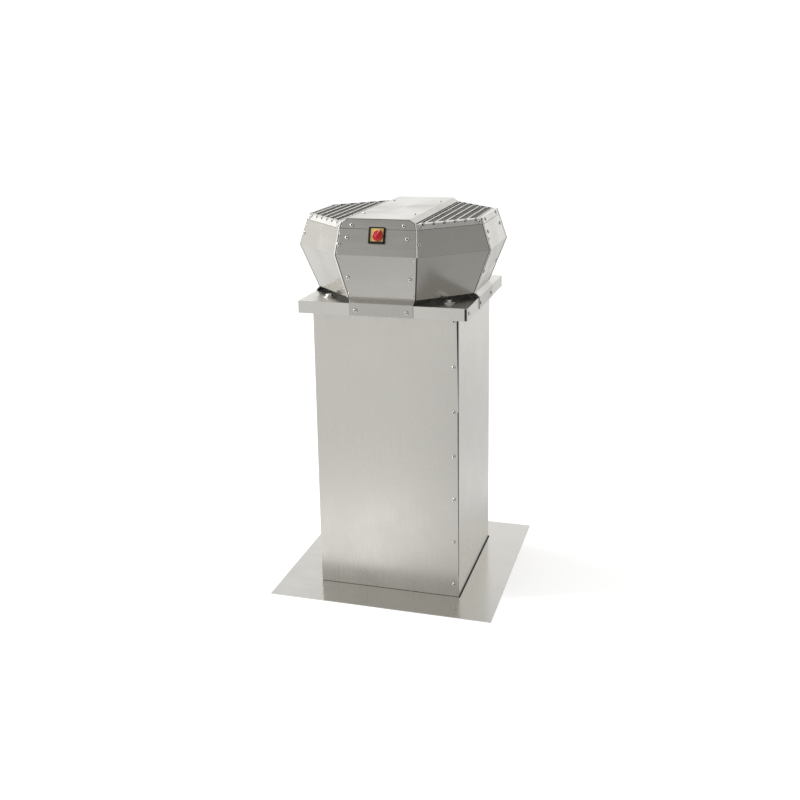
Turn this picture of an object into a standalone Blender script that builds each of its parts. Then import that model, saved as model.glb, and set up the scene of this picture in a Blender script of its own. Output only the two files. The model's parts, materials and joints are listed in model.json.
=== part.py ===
"""Roof exhaust fan: an octagonal sheet-metal hood on a tall square curb.

Frame: origin at the centre of the roof flange's underside, +Z up, -Y the side with the isolator switch.
Folded sheets are lofted from their fold lines and thickened inwards from the outer face.
"""

from math import cos, pi, radians, sin, sqrt

import bmesh
import bpy
from mathutils import Matrix, Vector

# ---- driving dimensions, in metres ----
SHEET = 0.0015
HEAVY_SHEET = 0.002
REST_GAP = 0.0003
SEAM_GAP = 0.0005
FLANGE_WIDTH = 0.020
CUT_PAST = 0.010  # how far a cutter runs past what it cuts

ROOF_HALF = 0.350
CURB_HALF = 0.225
CURB_TOP = 0.9150
COLLAR_TOP = 0.026
FRONT_FOOT = 0.0025
SIDE_FOOT = 0.0045
SEAM_OPEN = 0.0055
SEAM_CLOSED = 0.0006
SEAM_TAPER_Z = 0.560
RETURN_CLEAR = 0.005

TOP_FRAME_LEG = 0.060
TOP_FRAME_DROP = 0.026
SEAL_THICK = 0.0058
SEAL_INSET = 0.003
SEAL_WIDTH = 0.056

PLATE_HALF = 0.2581
PLATE_TOP = 0.9232
PLATE_DROP = 0.0372
PLATE_SLIT = 0.008
INLET_HOLE_R = 0.152

BOLT_OFFSET = 0.186
BOLT_HOLE_R = 0.0055
BOLT_SHANK_R = 0.0050
BOLT_HEAD_R = 0.0098
BOLT_HEAD_HEIGHT = 0.0064
BOLT_FOOT_Z = 0.897
WASHER_R = 0.0175
WASHER_THICK = 0.002

# Hood fold lines: height, distance of the four narrow panels, half width of the narrow panels.
HOOD_FOOT = (0.9370, 0.2472, 0.1029)
HOOD_WIDE = (1.0726, 0.2992, 0.1229)
HOOD_SHOULDER = (1.1473, 0.2757, 0.1155)
HOOD_RIM = (1.1653, 0.2702, 0.1104)
HOOD_CROWN = (1.1765, 0.2665, 0.0931)
TAB_BEND_Z = 0.9250
TAB_FOOT_Z = 0.8870
TAB_DISTANCE = 0.2600
TAB_HALF = 0.0980
HEM = 0.012
HEM_SEAM = 0.004
PANEL_SEAM = 0.0004
RETURN_INSET = 0.003
COVER_OVERHANG = 0.0008
COVER_SCREW_X = 0.078
COVER_SCREW_Y = 0.155
COVER_HEAD_R = 0.0045
COVER_HEAD_HEIGHT = 0.0023

BRIDGE_FLOOR = 1.0780
BRIDGE_HALF = 0.090
BRIDGE_LIP = 0.030
BRIDGE_LENGTH = 0.506

GRATING_INNER_X = 0.1115
GRATING_BASE_Z = 1.1478
GRATING_BEND_Z = 1.1625
GRATING_TOP_Z = 1.1655
GRATING_LIP = 0.009
GRATING_LEDGE = 0.016
BAR_PITCH = 0.025
BAR_COUNT = 6
BAR_FIRST_X = 0.129
CROSS_BAR_COUNT = 21
CROSS_BAR_DROP = 0.0025
BAR_THICK = 0.002
NOTCH = 0.0055
NOTCH_REACH = 0.020
NOTCH_DROP = 0.0045
BAR_END_INSET = 0.0035

CAN_R = 0.069
CAN_WALL = 0.005
CAN_BOTTOM = 1.004
CAN_TOP = 1.066
CAN_FLANGE_R = 0.084
CAN_FLANGE_Z = 1.0545
CAN_FLANGE_THICK = 0.003
CAN_FLOOR = 0.004
CAN_CHAMFER = 0.006
CORE_R = 0.0575
CORE_BORE_R = 0.0145
CORE_BOTTOM = 1.012
STATOR_DISC_R = 0.072
STATOR_DISC_BOTTOM = 1.0695
SHAFT_R = 0.006
SHAFT_TOP = 1.067
BEARING_OUTER_R = 0.0142
BEARING_INNER_R = 0.0063
BEARING_WIDTH = 0.010
LOWER_BEARING_Z = 1.018
UPPER_BEARING_Z = 1.054

WHEEL_R = 0.165
BACKPLATE_Z = 1.0580
BACKPLATE_THICK = 0.002
BLADE_COUNT = 7
BLADE_INNER_R = 0.108
BLADE_OUTER_R = 0.161
BLADE_SWEEP = radians(-38)
BLADE_THICK = 0.0016
BLADE_STEPS = 8
BLADE_CURVE = 0.8
BLADE_SHROUD_GAP = 0.0012
EYE_R = 0.1045
EYE_BOTTOM = 0.966
SHROUD_EYE_TOP = 0.975
SHROUD_RIM_Z = 0.997
CONE_MOUTH_R = 0.148
CONE_THROAT_R = 0.098
CONE_THROAT_LENGTH = 0.006
CONE_TOP = 0.974
CONE_FLANGE_R = 0.178
CONE_STEPS = 6

ISOLATOR_Z = 1.1300
ISOLATOR_HALF = 0.0240
ISOLATOR_BORDER = 0.0042
ISOLATOR_WINDOW_SHIFT = 0.0013
ISOLATOR_FRAME_TOP = 0.0090
ISOLATOR_PLATE_BOTTOM = 0.0015
ISOLATOR_PLATE_TOP = 0.0058
ISOLATOR_BODY_HALF = 0.0225
ISOLATOR_BODY_FRONT = -0.0090
ISOLATOR_BODY_BACK = -0.050
WINDOW_MARGIN = 0.001
KNOB_X = 0.0045
KNOB_Y = -0.0015
KNOB_R = 0.0155
KNOB_TAPER = 0.001
KNOB_SEAT = 0.0062
KNOB_THICK = 0.006
LEVER_HALF_WIDTH = 0.0048
LEVER_TAIL = 0.0080
LEVER_REACH = 0.0195
LEVER_HEIGHT = 0.0125
LEVER_TURN = -35
SPINDLE_R = 0.0040
SPINDLE_BORE_R = 0.0046
SPINDLE_FOOT = -0.0085

TERMINAL_BOX_Y = 0.120
TERMINAL_BOX_HALF_X = 0.045
TERMINAL_BOX_HALF_Y = 0.035
TERMINAL_BOX_HEIGHT = 0.048
TERMINAL_BOX_WALL = 0.003
TERMINAL_LID_THICK = 0.005
TERMINAL_LID_LAP = 0.001
GLAND_HEIGHT = 0.024
GLAND_HOLE_R = 0.0063
GLAND_NECK_R = 0.0060
GLAND_NECK_REACH = 0.012
GLAND_NUT_R = 0.0100
GLAND_NUT_LENGTH = 0.016
GLAND_BORE_R = 0.0040
CABLE_R = 0.0035

TAB_SCREW_X = 0.078
TAB_SCREW_Z = 0.9025
SCREW_HEAD_R = 0.0052
SCREW_CROWN_R = 0.0038
SCREW_HEAD_TOP = 0.0030
SCREW_SHANK_R = 0.0021
SCREW_HOLE_R = 0.0024
SCREW_REACH = 0.0075

STEEL = (0.62, 0.61, 0.59)
GALVANISED = (0.55, 0.57, 0.58)
ALUMINIUM = (0.66, 0.67, 0.68)
BLACK = (0.02, 0.02, 0.022)
GREY = (0.32, 0.33, 0.34)
ENAMEL = (0.05, 0.05, 0.055)
YELLOW = (0.78, 0.62, 0.08)
RED = (0.62, 0.015, 0.02)

SIDES = {"front": 0, "right": 90, "back": 180, "left": 270}
CORNERS = {"front_right": 0, "back_right": 90, "back_left": 180, "front_left": 270}


# ---- scene, materials and objects ----
def clear_scene():
    for obj in list(bpy.data.objects):
        bpy.data.objects.remove(obj, do_unlink=True)


def new_collection(name, parent=None):
    collection = bpy.data.collections.new(name)
    (parent or bpy.context.scene.collection).children.link(collection)
    return collection


def make_material(name, colour, roughness, metallic):
    material = bpy.data.materials.new(name)
    material.use_nodes = True
    shader = material.node_tree.nodes["Principled BSDF"]
    shader.inputs["Base Color"].default_value = (*colour, 1.0)
    shader.inputs["Roughness"].default_value = roughness
    shader.inputs["Metallic"].default_value = metallic
    return material


def steel(name):
    return make_material(name, STEEL, 0.32, 1.0)


def galvanised(name):
    return make_material(name, GALVANISED, 0.45, 1.0)


def aluminium(name):
    return make_material(name, ALUMINIUM, 0.4, 1.0)


def plastic(name, colour, roughness=0.45):
    return make_material(name, colour, roughness, 0.0)


def add_object(name, bm, material, collection=None):
    """Turns a bmesh into a named object in the parts collection."""
    mesh = bpy.data.meshes.new(name)
    bm.to_mesh(mesh)
    bm.free()
    if material:
        mesh.materials.append(material)
    obj = bpy.data.objects.new(name, mesh)
    (collection or PARTS).objects.link(obj)
    return obj


def smooth(obj, degrees=35):
    obj.data.shade_smooth()
    obj.data.set_sharp_from_angle(angle=radians(degrees))


def place(obj, location=(0, 0, 0), turn_z=0.0, parent=None):
    obj.location = location
    obj.rotation_euler = (0, 0, radians(turn_z))
    obj.parent = parent
    return obj


def thicken(obj, thickness=SHEET):
    """Gives an open sheet its thickness, inwards from the face that is modelled."""
    solid = obj.modifiers.new("Sheet", "SOLIDIFY")
    solid.thickness = thickness
    solid.offset = -1
    solid.use_even_offset = True
    solid.use_quality_normals = True
    return obj


def folded_sheet(name, rows, material, skip=(), closed=False, thickness=SHEET):
    """Lofts a sheet through rows of fold points, seen from outside left to right and bottom to top.

    skip holds (column, row) cells that are left open; closed joins the last column to the first.
    """
    columns = len(rows[0]) - 1
    bm = bmesh.new()
    bmesh.ops.create_grid(bm, x_segments=columns, y_segments=len(rows) - 1, size=1)
    points = [point for row in rows for point in row]
    for vert, point in zip(bm.verts, points):
        vert.co = point
    bm.faces.ensure_lookup_table()
    removed = [bm.faces[row * columns + column] for column, row in skip]
    bmesh.ops.delete(bm, geom=removed, context="FACES")
    if closed:
        bmesh.ops.remove_doubles(bm, verts=bm.verts, dist=0.00001)
    return thicken(add_object(name, bm, material), thickness)


def box(name, low, high, material, collection=None):
    bm = bmesh.new()
    bmesh.ops.create_cube(bm, size=1)
    low, high = Vector(low), Vector(high)
    middle = (low + high) / 2
    for vert in bm.verts:
        vert.co = Vector(c * s for c, s in zip(vert.co, high - low)) + middle
    return add_object(name, bm, material, collection)


def disc(name, radius, bottom, top, material, sides=32, centre=(0, 0), collection=None, top_radius=None):
    """A closed cylinder, or a cone's stump, standing upright over the given centre."""
    bm = bmesh.new()
    bmesh.ops.create_cone(
        bm,
        cap_ends=True,
        segments=sides,
        radius1=radius,
        radius2=radius if top_radius is None else top_radius,
        depth=top - bottom,
        matrix=Matrix.Translation((*centre, (bottom + top) / 2)),
    )
    obj = add_object(name, bm, material, collection)
    smooth(obj)
    return obj


def turned(name, profile, material, steps=48, closed=False, thickness=None):
    """Turns an outline about +Z. An open profile is a sheet; a closed one is a solid ring."""
    bm = bmesh.new()
    verts = [bm.verts.new((radius, 0, height)) for radius, height in profile]
    pairs = list(zip(verts, verts[1:]))
    if closed:
        pairs.append((verts[-1], verts[0]))
    for first, second in pairs:
        bm.edges.new((first, second))
    obj = add_object(name, bm, material)
    screw = obj.modifiers.new("Turn", "SCREW")
    screw.angle = 2 * pi
    screw.steps = steps
    screw.render_steps = steps
    screw.use_merge_vertices = True
    screw.merge_threshold = 0.0001
    screw.use_smooth_shade = True
    if thickness:
        thicken(obj, thickness)
    return obj


def boolean(obj, other, operation="DIFFERENCE"):
    cut = obj.modifiers.new(operation.title(), "BOOLEAN")
    cut.operation = operation
    cut.solver = "EXACT"
    cut.object = other
    return obj


def as_cutter(obj):
    obj.hide_render = True
    obj.display_type = "WIRE"
    return obj


def disc_cutter(name, radius, bottom, top, centre=(0, 0), sides=24):
    return as_cutter(disc(name, radius, bottom, top, None, sides, centre, CUTTERS))


def box_cutter(name, low, high, collection=None):
    return as_cutter(box(name, low, high, None, collection or CUTTERS))


# ---- curb ----
def square_ring(half, height):
    """Corners of a square at one height, anticlockwise from front left, closed onto the first."""
    corners = [(-half, -half), (half, -half), (half, half), (-half, half), (-half, -half)]
    return [(x, y, height) for x, y in corners]


def roof_flange():
    collar_half = CURB_HALF - SHEET - SEAM_GAP
    rows = [
        square_ring(ROOF_HALF, SHEET),
        square_ring(collar_half, SHEET),
        square_ring(collar_half, COLLAR_TOP),
    ]
    folded_sheet("roof_flange", rows, steel("roof_flange"), closed=True)


def curb_shell(name, turn_z, foot, seam_open):
    """One L of the curb: a return flange, a side, and the wide face that laps the other L's flange."""
    tucked = CURB_HALF - SHEET - SEAM_GAP
    edge = CURB_HALF - SEAM_CLOSED
    flange_low = COLLAR_TOP + RETURN_CLEAR
    flange_high = CURB_TOP - TOP_FRAME_DROP - RETURN_CLEAR
    heights = (foot, flange_low, SEAM_TAPER_Z, flange_high, CURB_TOP)
    rows = []
    for height in heights:
        opening = seam_open if height > SEAM_TAPER_Z else 0.0
        rows.append(
            [
                (-CURB_HALF + FLANGE_WIDTH, tucked, height),
                (-CURB_HALF, tucked, height),
                (-CURB_HALF, -CURB_HALF, height),
                (edge - opening, -CURB_HALF, height),
            ]
        )
    shell = folded_sheet(name, rows, steel(name), skip=((0, 0), (0, 3)))
    place(shell, turn_z=turn_z)


def curb_top_frame():
    """Welded angle ring inside the curb's top: an upright leg and a wide leg that takes the bolts."""
    outer = CURB_HALF - SHEET - 2 * REST_GAP
    rows = [
        square_ring(outer, CURB_TOP - TOP_FRAME_DROP),
        square_ring(outer, CURB_TOP),
        square_ring(outer - TOP_FRAME_LEG, CURB_TOP),
    ]
    material = galvanised("curb_top_frame")
    frame = folded_sheet("curb_top_frame", rows, material, closed=True, thickness=HEAVY_SHEET)
    cut_bolt_holes(frame)


def curb_seal():
    """Flat foam ring between the curb's top frame and the fan's base plate."""
    bottom = CURB_TOP + REST_GAP
    top = bottom + SEAL_THICK
    outer = CURB_HALF - SEAL_INSET
    inner = outer - SEAL_WIDTH
    foam = plastic("curb_seal", BLACK, 0.9)
    seal = box("curb_seal", (-outer, -outer, bottom), (outer, outer, top), foam)
    opening = box_cutter("seal_opening", (-inner, -inner, bottom - CUT_PAST), (inner, inner, top + CUT_PAST))
    boolean(seal, opening)
    cut_bolt_holes(seal)


def bolt_places():
    """Centre of the bolt at each corner, turned from the one at the front right."""
    first = Vector((BOLT_OFFSET, -BOLT_OFFSET))
    return {name: Matrix.Rotation(radians(turn), 2) @ first for name, turn in CORNERS.items()}


def cut_bolt_holes(obj):
    """Cuts the four bolt holes, with cutters that all the layers share."""
    for name, centre in bolt_places().items():
        cutter = bpy.data.objects.get("bolt_hole_" + name)
        if cutter is None:
            low = BOLT_FOOT_Z - CUT_PAST
            cutter = disc_cutter("bolt_hole_" + name, BOLT_HOLE_R, low, PLATE_TOP + CUT_PAST, centre, 12)
        boolean(obj, cutter)


# ---- fan base ----
def base_plate():
    """Square plate with four down-turned flanges, each cut short at its right-hand corner."""
    bm = bmesh.new()
    bmesh.ops.create_grid(bm, x_segments=1, y_segments=1, size=PLATE_HALF)
    for vert in bm.verts:
        vert.co.z = PLATE_TOP
    for turn in SIDES.values():
        about = Matrix.Rotation(radians(turn), 3, "Z")
        ends = (-PLATE_HALF, PLATE_HALF - PLATE_SLIT)
        top = [about @ Vector((x, -PLATE_HALF, PLATE_TOP)) for x in ends]
        foot = [point - Vector((0, 0, PLATE_DROP)) for point in top]
        bm.faces.new([bm.verts.new(point) for point in (*foot, top[1], top[0])])
    split_plate_edges(bm)
    plate = thicken(add_object("base_plate", bm, steel("base_plate")))
    hole = disc_cutter("inlet_hole", INLET_HOLE_R, PLATE_TOP - CUT_PAST, PLATE_TOP + CUT_PAST, sides=48)
    boolean(plate, hole)
    cut_bolt_holes(plate)


def split_plate_edges(bm):
    """Splits the plate's edges where the flanges stop, so that plate and flanges share their fold lines."""
    first_stop = Vector((PLATE_HALF - PLATE_SLIT, -PLATE_HALF, PLATE_TOP))
    for turn in SIDES.values():
        stop = Matrix.Rotation(radians(turn), 3, "Z") @ first_stop
        for edge in list(bm.edges):
            first, second = (vert.co for vert in edge.verts)
            length = (first - second).length
            full_side = abs(length - 2 * PLATE_HALF) < REST_GAP
            passes_stop = abs((stop - first).length + (second - stop).length - length) < REST_GAP
            if full_side and passes_stop:
                bmesh.utils.edge_split(edge, edge.verts[0], (stop - first).length / length)
    bmesh.ops.remove_doubles(bm, verts=bm.verts, dist=0.00001)


def inlet_cone():
    """Bellmouth from a flat ring on the base plate up to the throat, which ends inside the wheel's eye."""
    flange_z = PLATE_TOP + REST_GAP
    rise = CONE_TOP - CONE_THROAT_LENGTH - flange_z
    curve = []
    for step in range(CONE_STEPS + 1):
        angle = pi / 2 * step / CONE_STEPS
        radius = CONE_MOUTH_R - (CONE_MOUTH_R - CONE_THROAT_R) * sin(angle)
        curve.append((radius, flange_z + rise * (1 - cos(angle))))
    profile = [(CONE_THROAT_R, CONE_TOP), *reversed(curve), (CONE_FLANGE_R, flange_z)]
    cone = turned("inlet_cone", profile, aluminium("inlet_cone"), 36, thickness=SHEET)
    cone.modifiers["Sheet"].offset = 1


def hex_bolt(name, centre, seat):
    """Hexagon-head screw whose head stands on a washer; the shank passes all layers."""
    middle = seat + BOLT_HEAD_HEIGHT / 2
    shank = disc_cutter(name + "_shank", BOLT_SHANK_R, BOLT_FOOT_Z, middle, centre, 12)
    bolt = disc(name, BOLT_HEAD_R, seat, seat + BOLT_HEAD_HEIGHT, steel(name), 6, centre)
    boolean(bolt, shank, "UNION")


def corner_fixings():
    for name, centre in bolt_places().items():
        bottom = PLATE_TOP + REST_GAP
        top = bottom + WASHER_THICK
        washer = disc("corner_washer_" + name, WASHER_R, bottom, top, steel("washer_" + name), 24, centre)
        boolean(washer, bpy.data.objects["bolt_hole_" + name])
        hex_bolt("corner_bolt_" + name, centre, top + REST_GAP)


# ---- hood ----
def hood_at(level, inset=0.0):
    """Distance and half width of the narrow panels at a fold line, moved inwards on all eight sides."""
    height, distance, half = level
    return height, distance - inset, half - inset * (sqrt(2) - 1)


def narrow_row(height, distance, half, with_returns):
    """Fold points of a narrow panel: the face, and the flanges that turn back behind its neighbours."""
    setback = (SHEET + SEAM_GAP) * sqrt(2)
    half -= setback
    reach = FLANGE_WIDTH / sqrt(2) if with_returns else 0.0
    return [
        (-half - reach, -distance + reach, height),
        (-half, -distance, height),
        (half, -distance, height),
        (half + reach, -distance + reach, height),
    ]


def narrow_panel(name, turn_z, to_crown):
    """Narrow hood panel: a tab over the base plate, the flared wall, the shoulder, and the top edge."""
    setback = (SHEET + SEAM_GAP) * sqrt(2)
    rows = [
        narrow_row(TAB_FOOT_Z, TAB_DISTANCE, TAB_HALF + setback, False),
        narrow_row(TAB_BEND_Z, TAB_DISTANCE, TAB_HALF + setback, False),
        narrow_row(*HOOD_FOOT, True),
        narrow_row(*between(HOOD_FOOT, HOOD_WIDE, HOOD_FOOT[0] + RETURN_INSET), True),
        narrow_row(*HOOD_WIDE, True),
        narrow_row(*between(HOOD_WIDE, HOOD_SHOULDER, HOOD_SHOULDER[0] - RETURN_INSET), True),
        narrow_row(*HOOD_SHOULDER, True),
        narrow_row(*HOOD_RIM, True),
    ]
    if to_crown:
        under = SHEET + REST_GAP
        height, distance, half = HOOD_CROWN
        rows.append(narrow_row(height - under, distance, half, False))
        rows.append(narrow_row(height - under, distance - HEM, half, False))
    # Only the wall between the foot and the shoulder has return flanges, clear of its neighbours' hems.
    open_rows = [row for row in range(len(rows) - 1) if row not in (3, 4)]
    skip = [(column, row) for row in open_rows for column in (0, 2)]
    panel = folded_sheet(name, rows, steel(name), skip=skip)
    return place(panel, turn_z=turn_z)


def corner_row(height, distance, half, seam=PANEL_SEAM):
    """The two ends of a wide 45-degree panel, for the front right corner."""
    return [(half + seam, -distance + seam, height), (distance - seam, -half - seam, height)]


def corner_panel(name, turn_z):
    """Wide panel across one corner, with a stiffening hem at its foot and a ledge for the grating."""
    rows = [
        corner_row(*hood_at(HOOD_FOOT, HEM), seam=HEM_SEAM),
        corner_row(*HOOD_FOOT),
        corner_row(*HOOD_WIDE),
        corner_row(*HOOD_SHOULDER),
        corner_row(*hood_at(HOOD_SHOULDER, HEM), seam=HEM_SEAM),
    ]
    place(folded_sheet(name, rows, steel(name)), turn_z=turn_z)


def top_cover():
    """Flat lid along the hood with a slanted strip on each long side, in one with its four screw heads."""
    height, distance, half = HOOD_CROWN
    reach = distance + COVER_OVERHANG
    foot = (GRATING_INNER_X - SHEET, HOOD_RIM[0] - REST_GAP)
    section = [(-foot[0], foot[1]), (-half, height), (half, height), foot]
    rows = [[(x, y, z) for x, z in section] for y in (-reach, reach)]
    cover = folded_sheet("top_cover", rows, steel("top_cover"))
    for index, (x, y) in enumerate(((1, 1), (1, -1), (-1, -1), (-1, 1))):
        centre = (x * COVER_SCREW_X, y * COVER_SCREW_Y)
        top = height + COVER_HEAD_HEIGHT
        head = disc_cutter(f"cover_head_{index + 1}", COVER_HEAD_R, height - SHEET / 2, top, centre, 16)
        boolean(cover, head, "UNION")


def grating_ring(level, height, inset=0.0):
    """Corners of the right grating's outline at one height, closed onto the first."""
    _, distance, half = hood_at(level, inset)
    span = distance + half
    inner = level[2] + REST_GAP + inset
    outer = distance - SHEET - SEAM_GAP
    corners = [(inner, inner - span), (outer, outer - span), (outer, span - outer), (inner, span - inner)]
    return [(x, y, height) for x, y in (*corners, corners[0])]


def between(low, high, height):
    """Hood section at a height between two fold lines."""
    share = (height - low[0]) / (high[0] - low[0])
    return tuple(a + (b - a) * share for a, b in zip(low, high))


def bar_places():
    return [BAR_FIRST_X + BAR_PITCH * index for index in range(BAR_COUNT)]


def cross_bar_places():
    """Places of the cross bars along Y; the outermost pair meets the first long bar at the rim."""
    span = sum(between(HOOD_SHOULDER, HOOD_RIM, GRATING_BEND_Z)[1:])
    first = span - BAR_FIRST_X
    return [first * (2 * index / (CROSS_BAR_COUNT - 1) - 1) for index in range(CROSS_BAR_COUNT)]


def grating_rim(name):
    base = between(HOOD_SHOULDER, HOOD_RIM, GRATING_BASE_Z)
    bend = between(HOOD_SHOULDER, HOOD_RIM, GRATING_BEND_Z)
    rows = [
        grating_ring(base, GRATING_BASE_Z, GRATING_LEDGE),
        grating_ring(base, GRATING_BASE_Z),
        grating_ring(bend, GRATING_BEND_Z),
        grating_ring(bend, GRATING_TOP_Z, GRATING_LIP),
    ]
    return folded_sheet(name, rows, steel(name), closed=True)


def grating_notches(name, span):
    """Notches in the rim's lip, one for each end of a long bar."""
    tools = new_collection(name + "_notches", CUTTERS)
    for index, x in enumerate(bar_places()):
        low = (x - NOTCH / 2, x - span - NOTCH_REACH, GRATING_BEND_Z - NOTCH_DROP)
        high = (x + NOTCH / 2, span - x + NOTCH_REACH, GRATING_TOP_Z + NOTCH_DROP)
        box_cutter(f"{name}_notch_{index}", low, high, tools)
    return tools


def grating_bars(name, span):
    """Upright long bars, front to back, and slightly lower cross bars through them."""
    tools = new_collection(name + "_bars", CUTTERS)
    bottom = GRATING_BASE_Z + SHEET / 2
    top = GRATING_TOP_Z - SHEET / 3
    for index, x in enumerate(bar_places()):
        reach = span - x - BAR_END_INSET
        low = (x - BAR_THICK / 2, -reach, bottom)
        box_cutter(f"{name}_bar_{index}", low, (x + BAR_THICK / 2, reach, top), tools)
    inner = GRATING_INNER_X + BAR_END_INSET
    outer = between(HOOD_SHOULDER, HOOD_RIM, GRATING_BEND_Z)[1] - SEAM_GAP - 2 * SHEET
    for index, y in enumerate(cross_bar_places()):
        reach = min(outer, span - abs(y) - BAR_END_INSET)
        low = (inner, y - BAR_THICK / 2, bottom + CROSS_BAR_DROP)
        box_cutter(f"{name}_cross_bar_{index}", low, (reach, y + BAR_THICK / 2, top - CROSS_BAR_DROP), tools)
    return tools


def grating(name, turn_z):
    """Notched rim with a grid of upright bars, welded into one piece."""
    rim = grating_rim(name)
    span = sum(between(HOOD_SHOULDER, HOOD_RIM, GRATING_BEND_Z)[1:])
    notches = grating_notches(name, span)
    bars = grating_bars(name, span)
    for tools, operation in ((notches, "DIFFERENCE"), (bars, "UNION")):
        for tool in tools.objects:
            tool.parent = rim
        join = rim.modifiers.new(operation.title(), "BOOLEAN")
        join.operation = operation
        join.solver = "EXACT"
        join.operand_type = "COLLECTION"
        join.collection = tools
    place(rim, turn_z=turn_z)


# ---- motor and wheel ----
def motor_bridge():
    """Channel under the lid, front to back, that carries the motor below and the wiring inside."""
    lid_under = HOOD_CROWN[0] - SHEET - 2 * REST_GAP
    floor = BRIDGE_FLOOR - HEAVY_SHEET
    lip = BRIDGE_HALF - BRIDGE_LIP
    half_section = [(BRIDGE_HALF, floor), (BRIDGE_HALF, lid_under), (lip, lid_under)]
    section = [*reversed(half_section), *((-x, z) for x, z in half_section)]
    reach = BRIDGE_LENGTH / 2
    rows = [[(x, y, z) for x, z in section] for y in (-reach, reach)]
    folded_sheet("motor_bridge", rows, galvanised("motor_bridge"), thickness=HEAVY_SHEET)


def motor_stator():
    """Flange disc under the bridge with the wound core and its bearing tube, fixed."""
    disc_top = BRIDGE_FLOOR - HEAVY_SHEET - REST_GAP
    outline = [
        (CORE_BORE_R, disc_top),
        (STATOR_DISC_R, disc_top),
        (STATOR_DISC_R, STATOR_DISC_BOTTOM),
        (CORE_R, STATOR_DISC_BOTTOM),
        (CORE_R, CORE_BOTTOM),
        (CORE_BORE_R, CORE_BOTTOM),
    ]
    turned("motor_stator", outline, aluminium("motor_stator"), 32, closed=True)


def motor_rotor():
    """Outer rotor: a can open at the top, with the flange that the wheel's back plate is bolted to."""
    inner = CAN_R - CAN_WALL
    floor = CAN_BOTTOM + CAN_FLOOR
    flange_top = CAN_FLANGE_Z + CAN_FLANGE_THICK
    outline = [
        (0.0, floor),
        (inner, floor),
        (inner, CAN_TOP),
        (CAN_R, CAN_TOP),
        (CAN_R, flange_top),
        (CAN_FLANGE_R, flange_top),
        (CAN_FLANGE_R, CAN_FLANGE_Z),
        (CAN_R, CAN_FLANGE_Z),
        (CAN_R, CAN_BOTTOM + CAN_CHAMFER),
        (CAN_R - CAN_CHAMFER, CAN_BOTTOM),
        (0.0, CAN_BOTTOM),
    ]
    turned("motor_rotor", outline, make_material("motor_rotor", ENAMEL, 0.5, 0.6), 40)


def motor_shaft():
    foot = CAN_BOTTOM + CAN_FLOOR + REST_GAP
    disc("motor_shaft", SHAFT_R, foot, SHAFT_TOP, steel("motor_shaft"), 16)


def bearing(name, bottom):
    top = bottom + BEARING_WIDTH
    outline = [
        (BEARING_INNER_R, top),
        (BEARING_OUTER_R, top),
        (BEARING_OUTER_R, bottom),
        (BEARING_INNER_R, bottom),
    ]
    turned(name, outline, steel(name), 24, closed=True)


def impeller_backplate():
    outline = [
        (CAN_R + REST_GAP, BACKPLATE_Z + BACKPLATE_THICK),
        (WHEEL_R, BACKPLATE_Z + BACKPLATE_THICK),
        (WHEEL_R, BACKPLATE_Z),
        (CAN_R + REST_GAP, BACKPLATE_Z),
    ]
    turned("impeller_backplate", outline, aluminium("impeller_backplate"), closed=True)


def shroud_height(radius):
    """Upper face of the front shroud at a radius."""
    share = max(0.0, (radius - EYE_R) / (WHEEL_R - EYE_R))
    return SHROUD_EYE_TOP + (SHROUD_RIM_Z - SHROUD_EYE_TOP) * share


def impeller_shroud():
    """Conical front shroud with a short collar round the eye."""
    profile = [(WHEEL_R, SHROUD_RIM_Z), (EYE_R, SHROUD_EYE_TOP), (EYE_R, EYE_BOTTOM)]
    shroud = turned("impeller_shroud", profile, aluminium("impeller_shroud"), thickness=SHEET)
    shroud.modifiers["Sheet"].offset = 1


def impeller_blade(name, turn_z):
    """Backward-curved blade between shroud and back plate."""
    lower, upper = [], []
    for step in range(BLADE_STEPS + 1):
        share = step / BLADE_STEPS
        radius = BLADE_INNER_R + (BLADE_OUTER_R - BLADE_INNER_R) * share
        angle = BLADE_SWEEP * share**BLADE_CURVE
        x, y = radius * cos(angle), radius * sin(angle)
        lower.append((x, y, shroud_height(radius) + BLADE_SHROUD_GAP))
        upper.append((x, y, BACKPLATE_Z - REST_GAP))
    blade = folded_sheet(name, [lower, upper], aluminium(name), thickness=BLADE_THICK)
    place(blade, turn_z=turn_z)


def impeller_blades():
    for index in range(BLADE_COUNT):
        impeller_blade(f"impeller_blade_{index + 1}", 360 * index / BLADE_COUNT)


# ---- isolator switch ----
def panel_normal():
    """Outward normal of the front panel above its widest fold, in the YZ plane."""
    rise = HOOD_SHOULDER[0] - HOOD_WIDE[0]
    lean = HOOD_WIDE[1] - HOOD_SHOULDER[1]
    return Vector((0, -rise, lean)).normalized()


def isolator_mount():
    """Empty on the front panel at the switch, with +Z outwards and +Y up the slope."""
    outwards = panel_normal()
    upwards = Vector((1, 0, 0)).cross(-outwards)
    _, distance, _ = between(HOOD_WIDE, HOOD_SHOULDER, ISOLATOR_Z)
    empty = bpy.data.objects.new("isolator_mount", None)
    PARTS.objects.link(empty)
    turn = Matrix((Vector((1, 0, 0)), upwards, outwards)).transposed()
    empty.matrix_world = Matrix.Translation((0, -distance, ISOLATOR_Z)) @ turn.to_4x4()
    return empty


def bevel(obj, width, segments=2):
    edge = obj.modifiers.new("Bevel", "BEVEL")
    edge.width = width
    edge.segments = segments
    edge.limit_method = "ANGLE"
    edge.angle_limit = radians(40)
    return obj


def isolator_opening(inset, bottom, top):
    """Low and high corners of the surround's opening, which is wider at its left and lower borders."""
    reach = ISOLATOR_HALF - ISOLATOR_BORDER - inset
    low, high = ISOLATOR_WINDOW_SHIFT - reach, ISOLATOR_WINDOW_SHIFT + reach
    return (low, low, bottom), (high, high, top)


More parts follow.
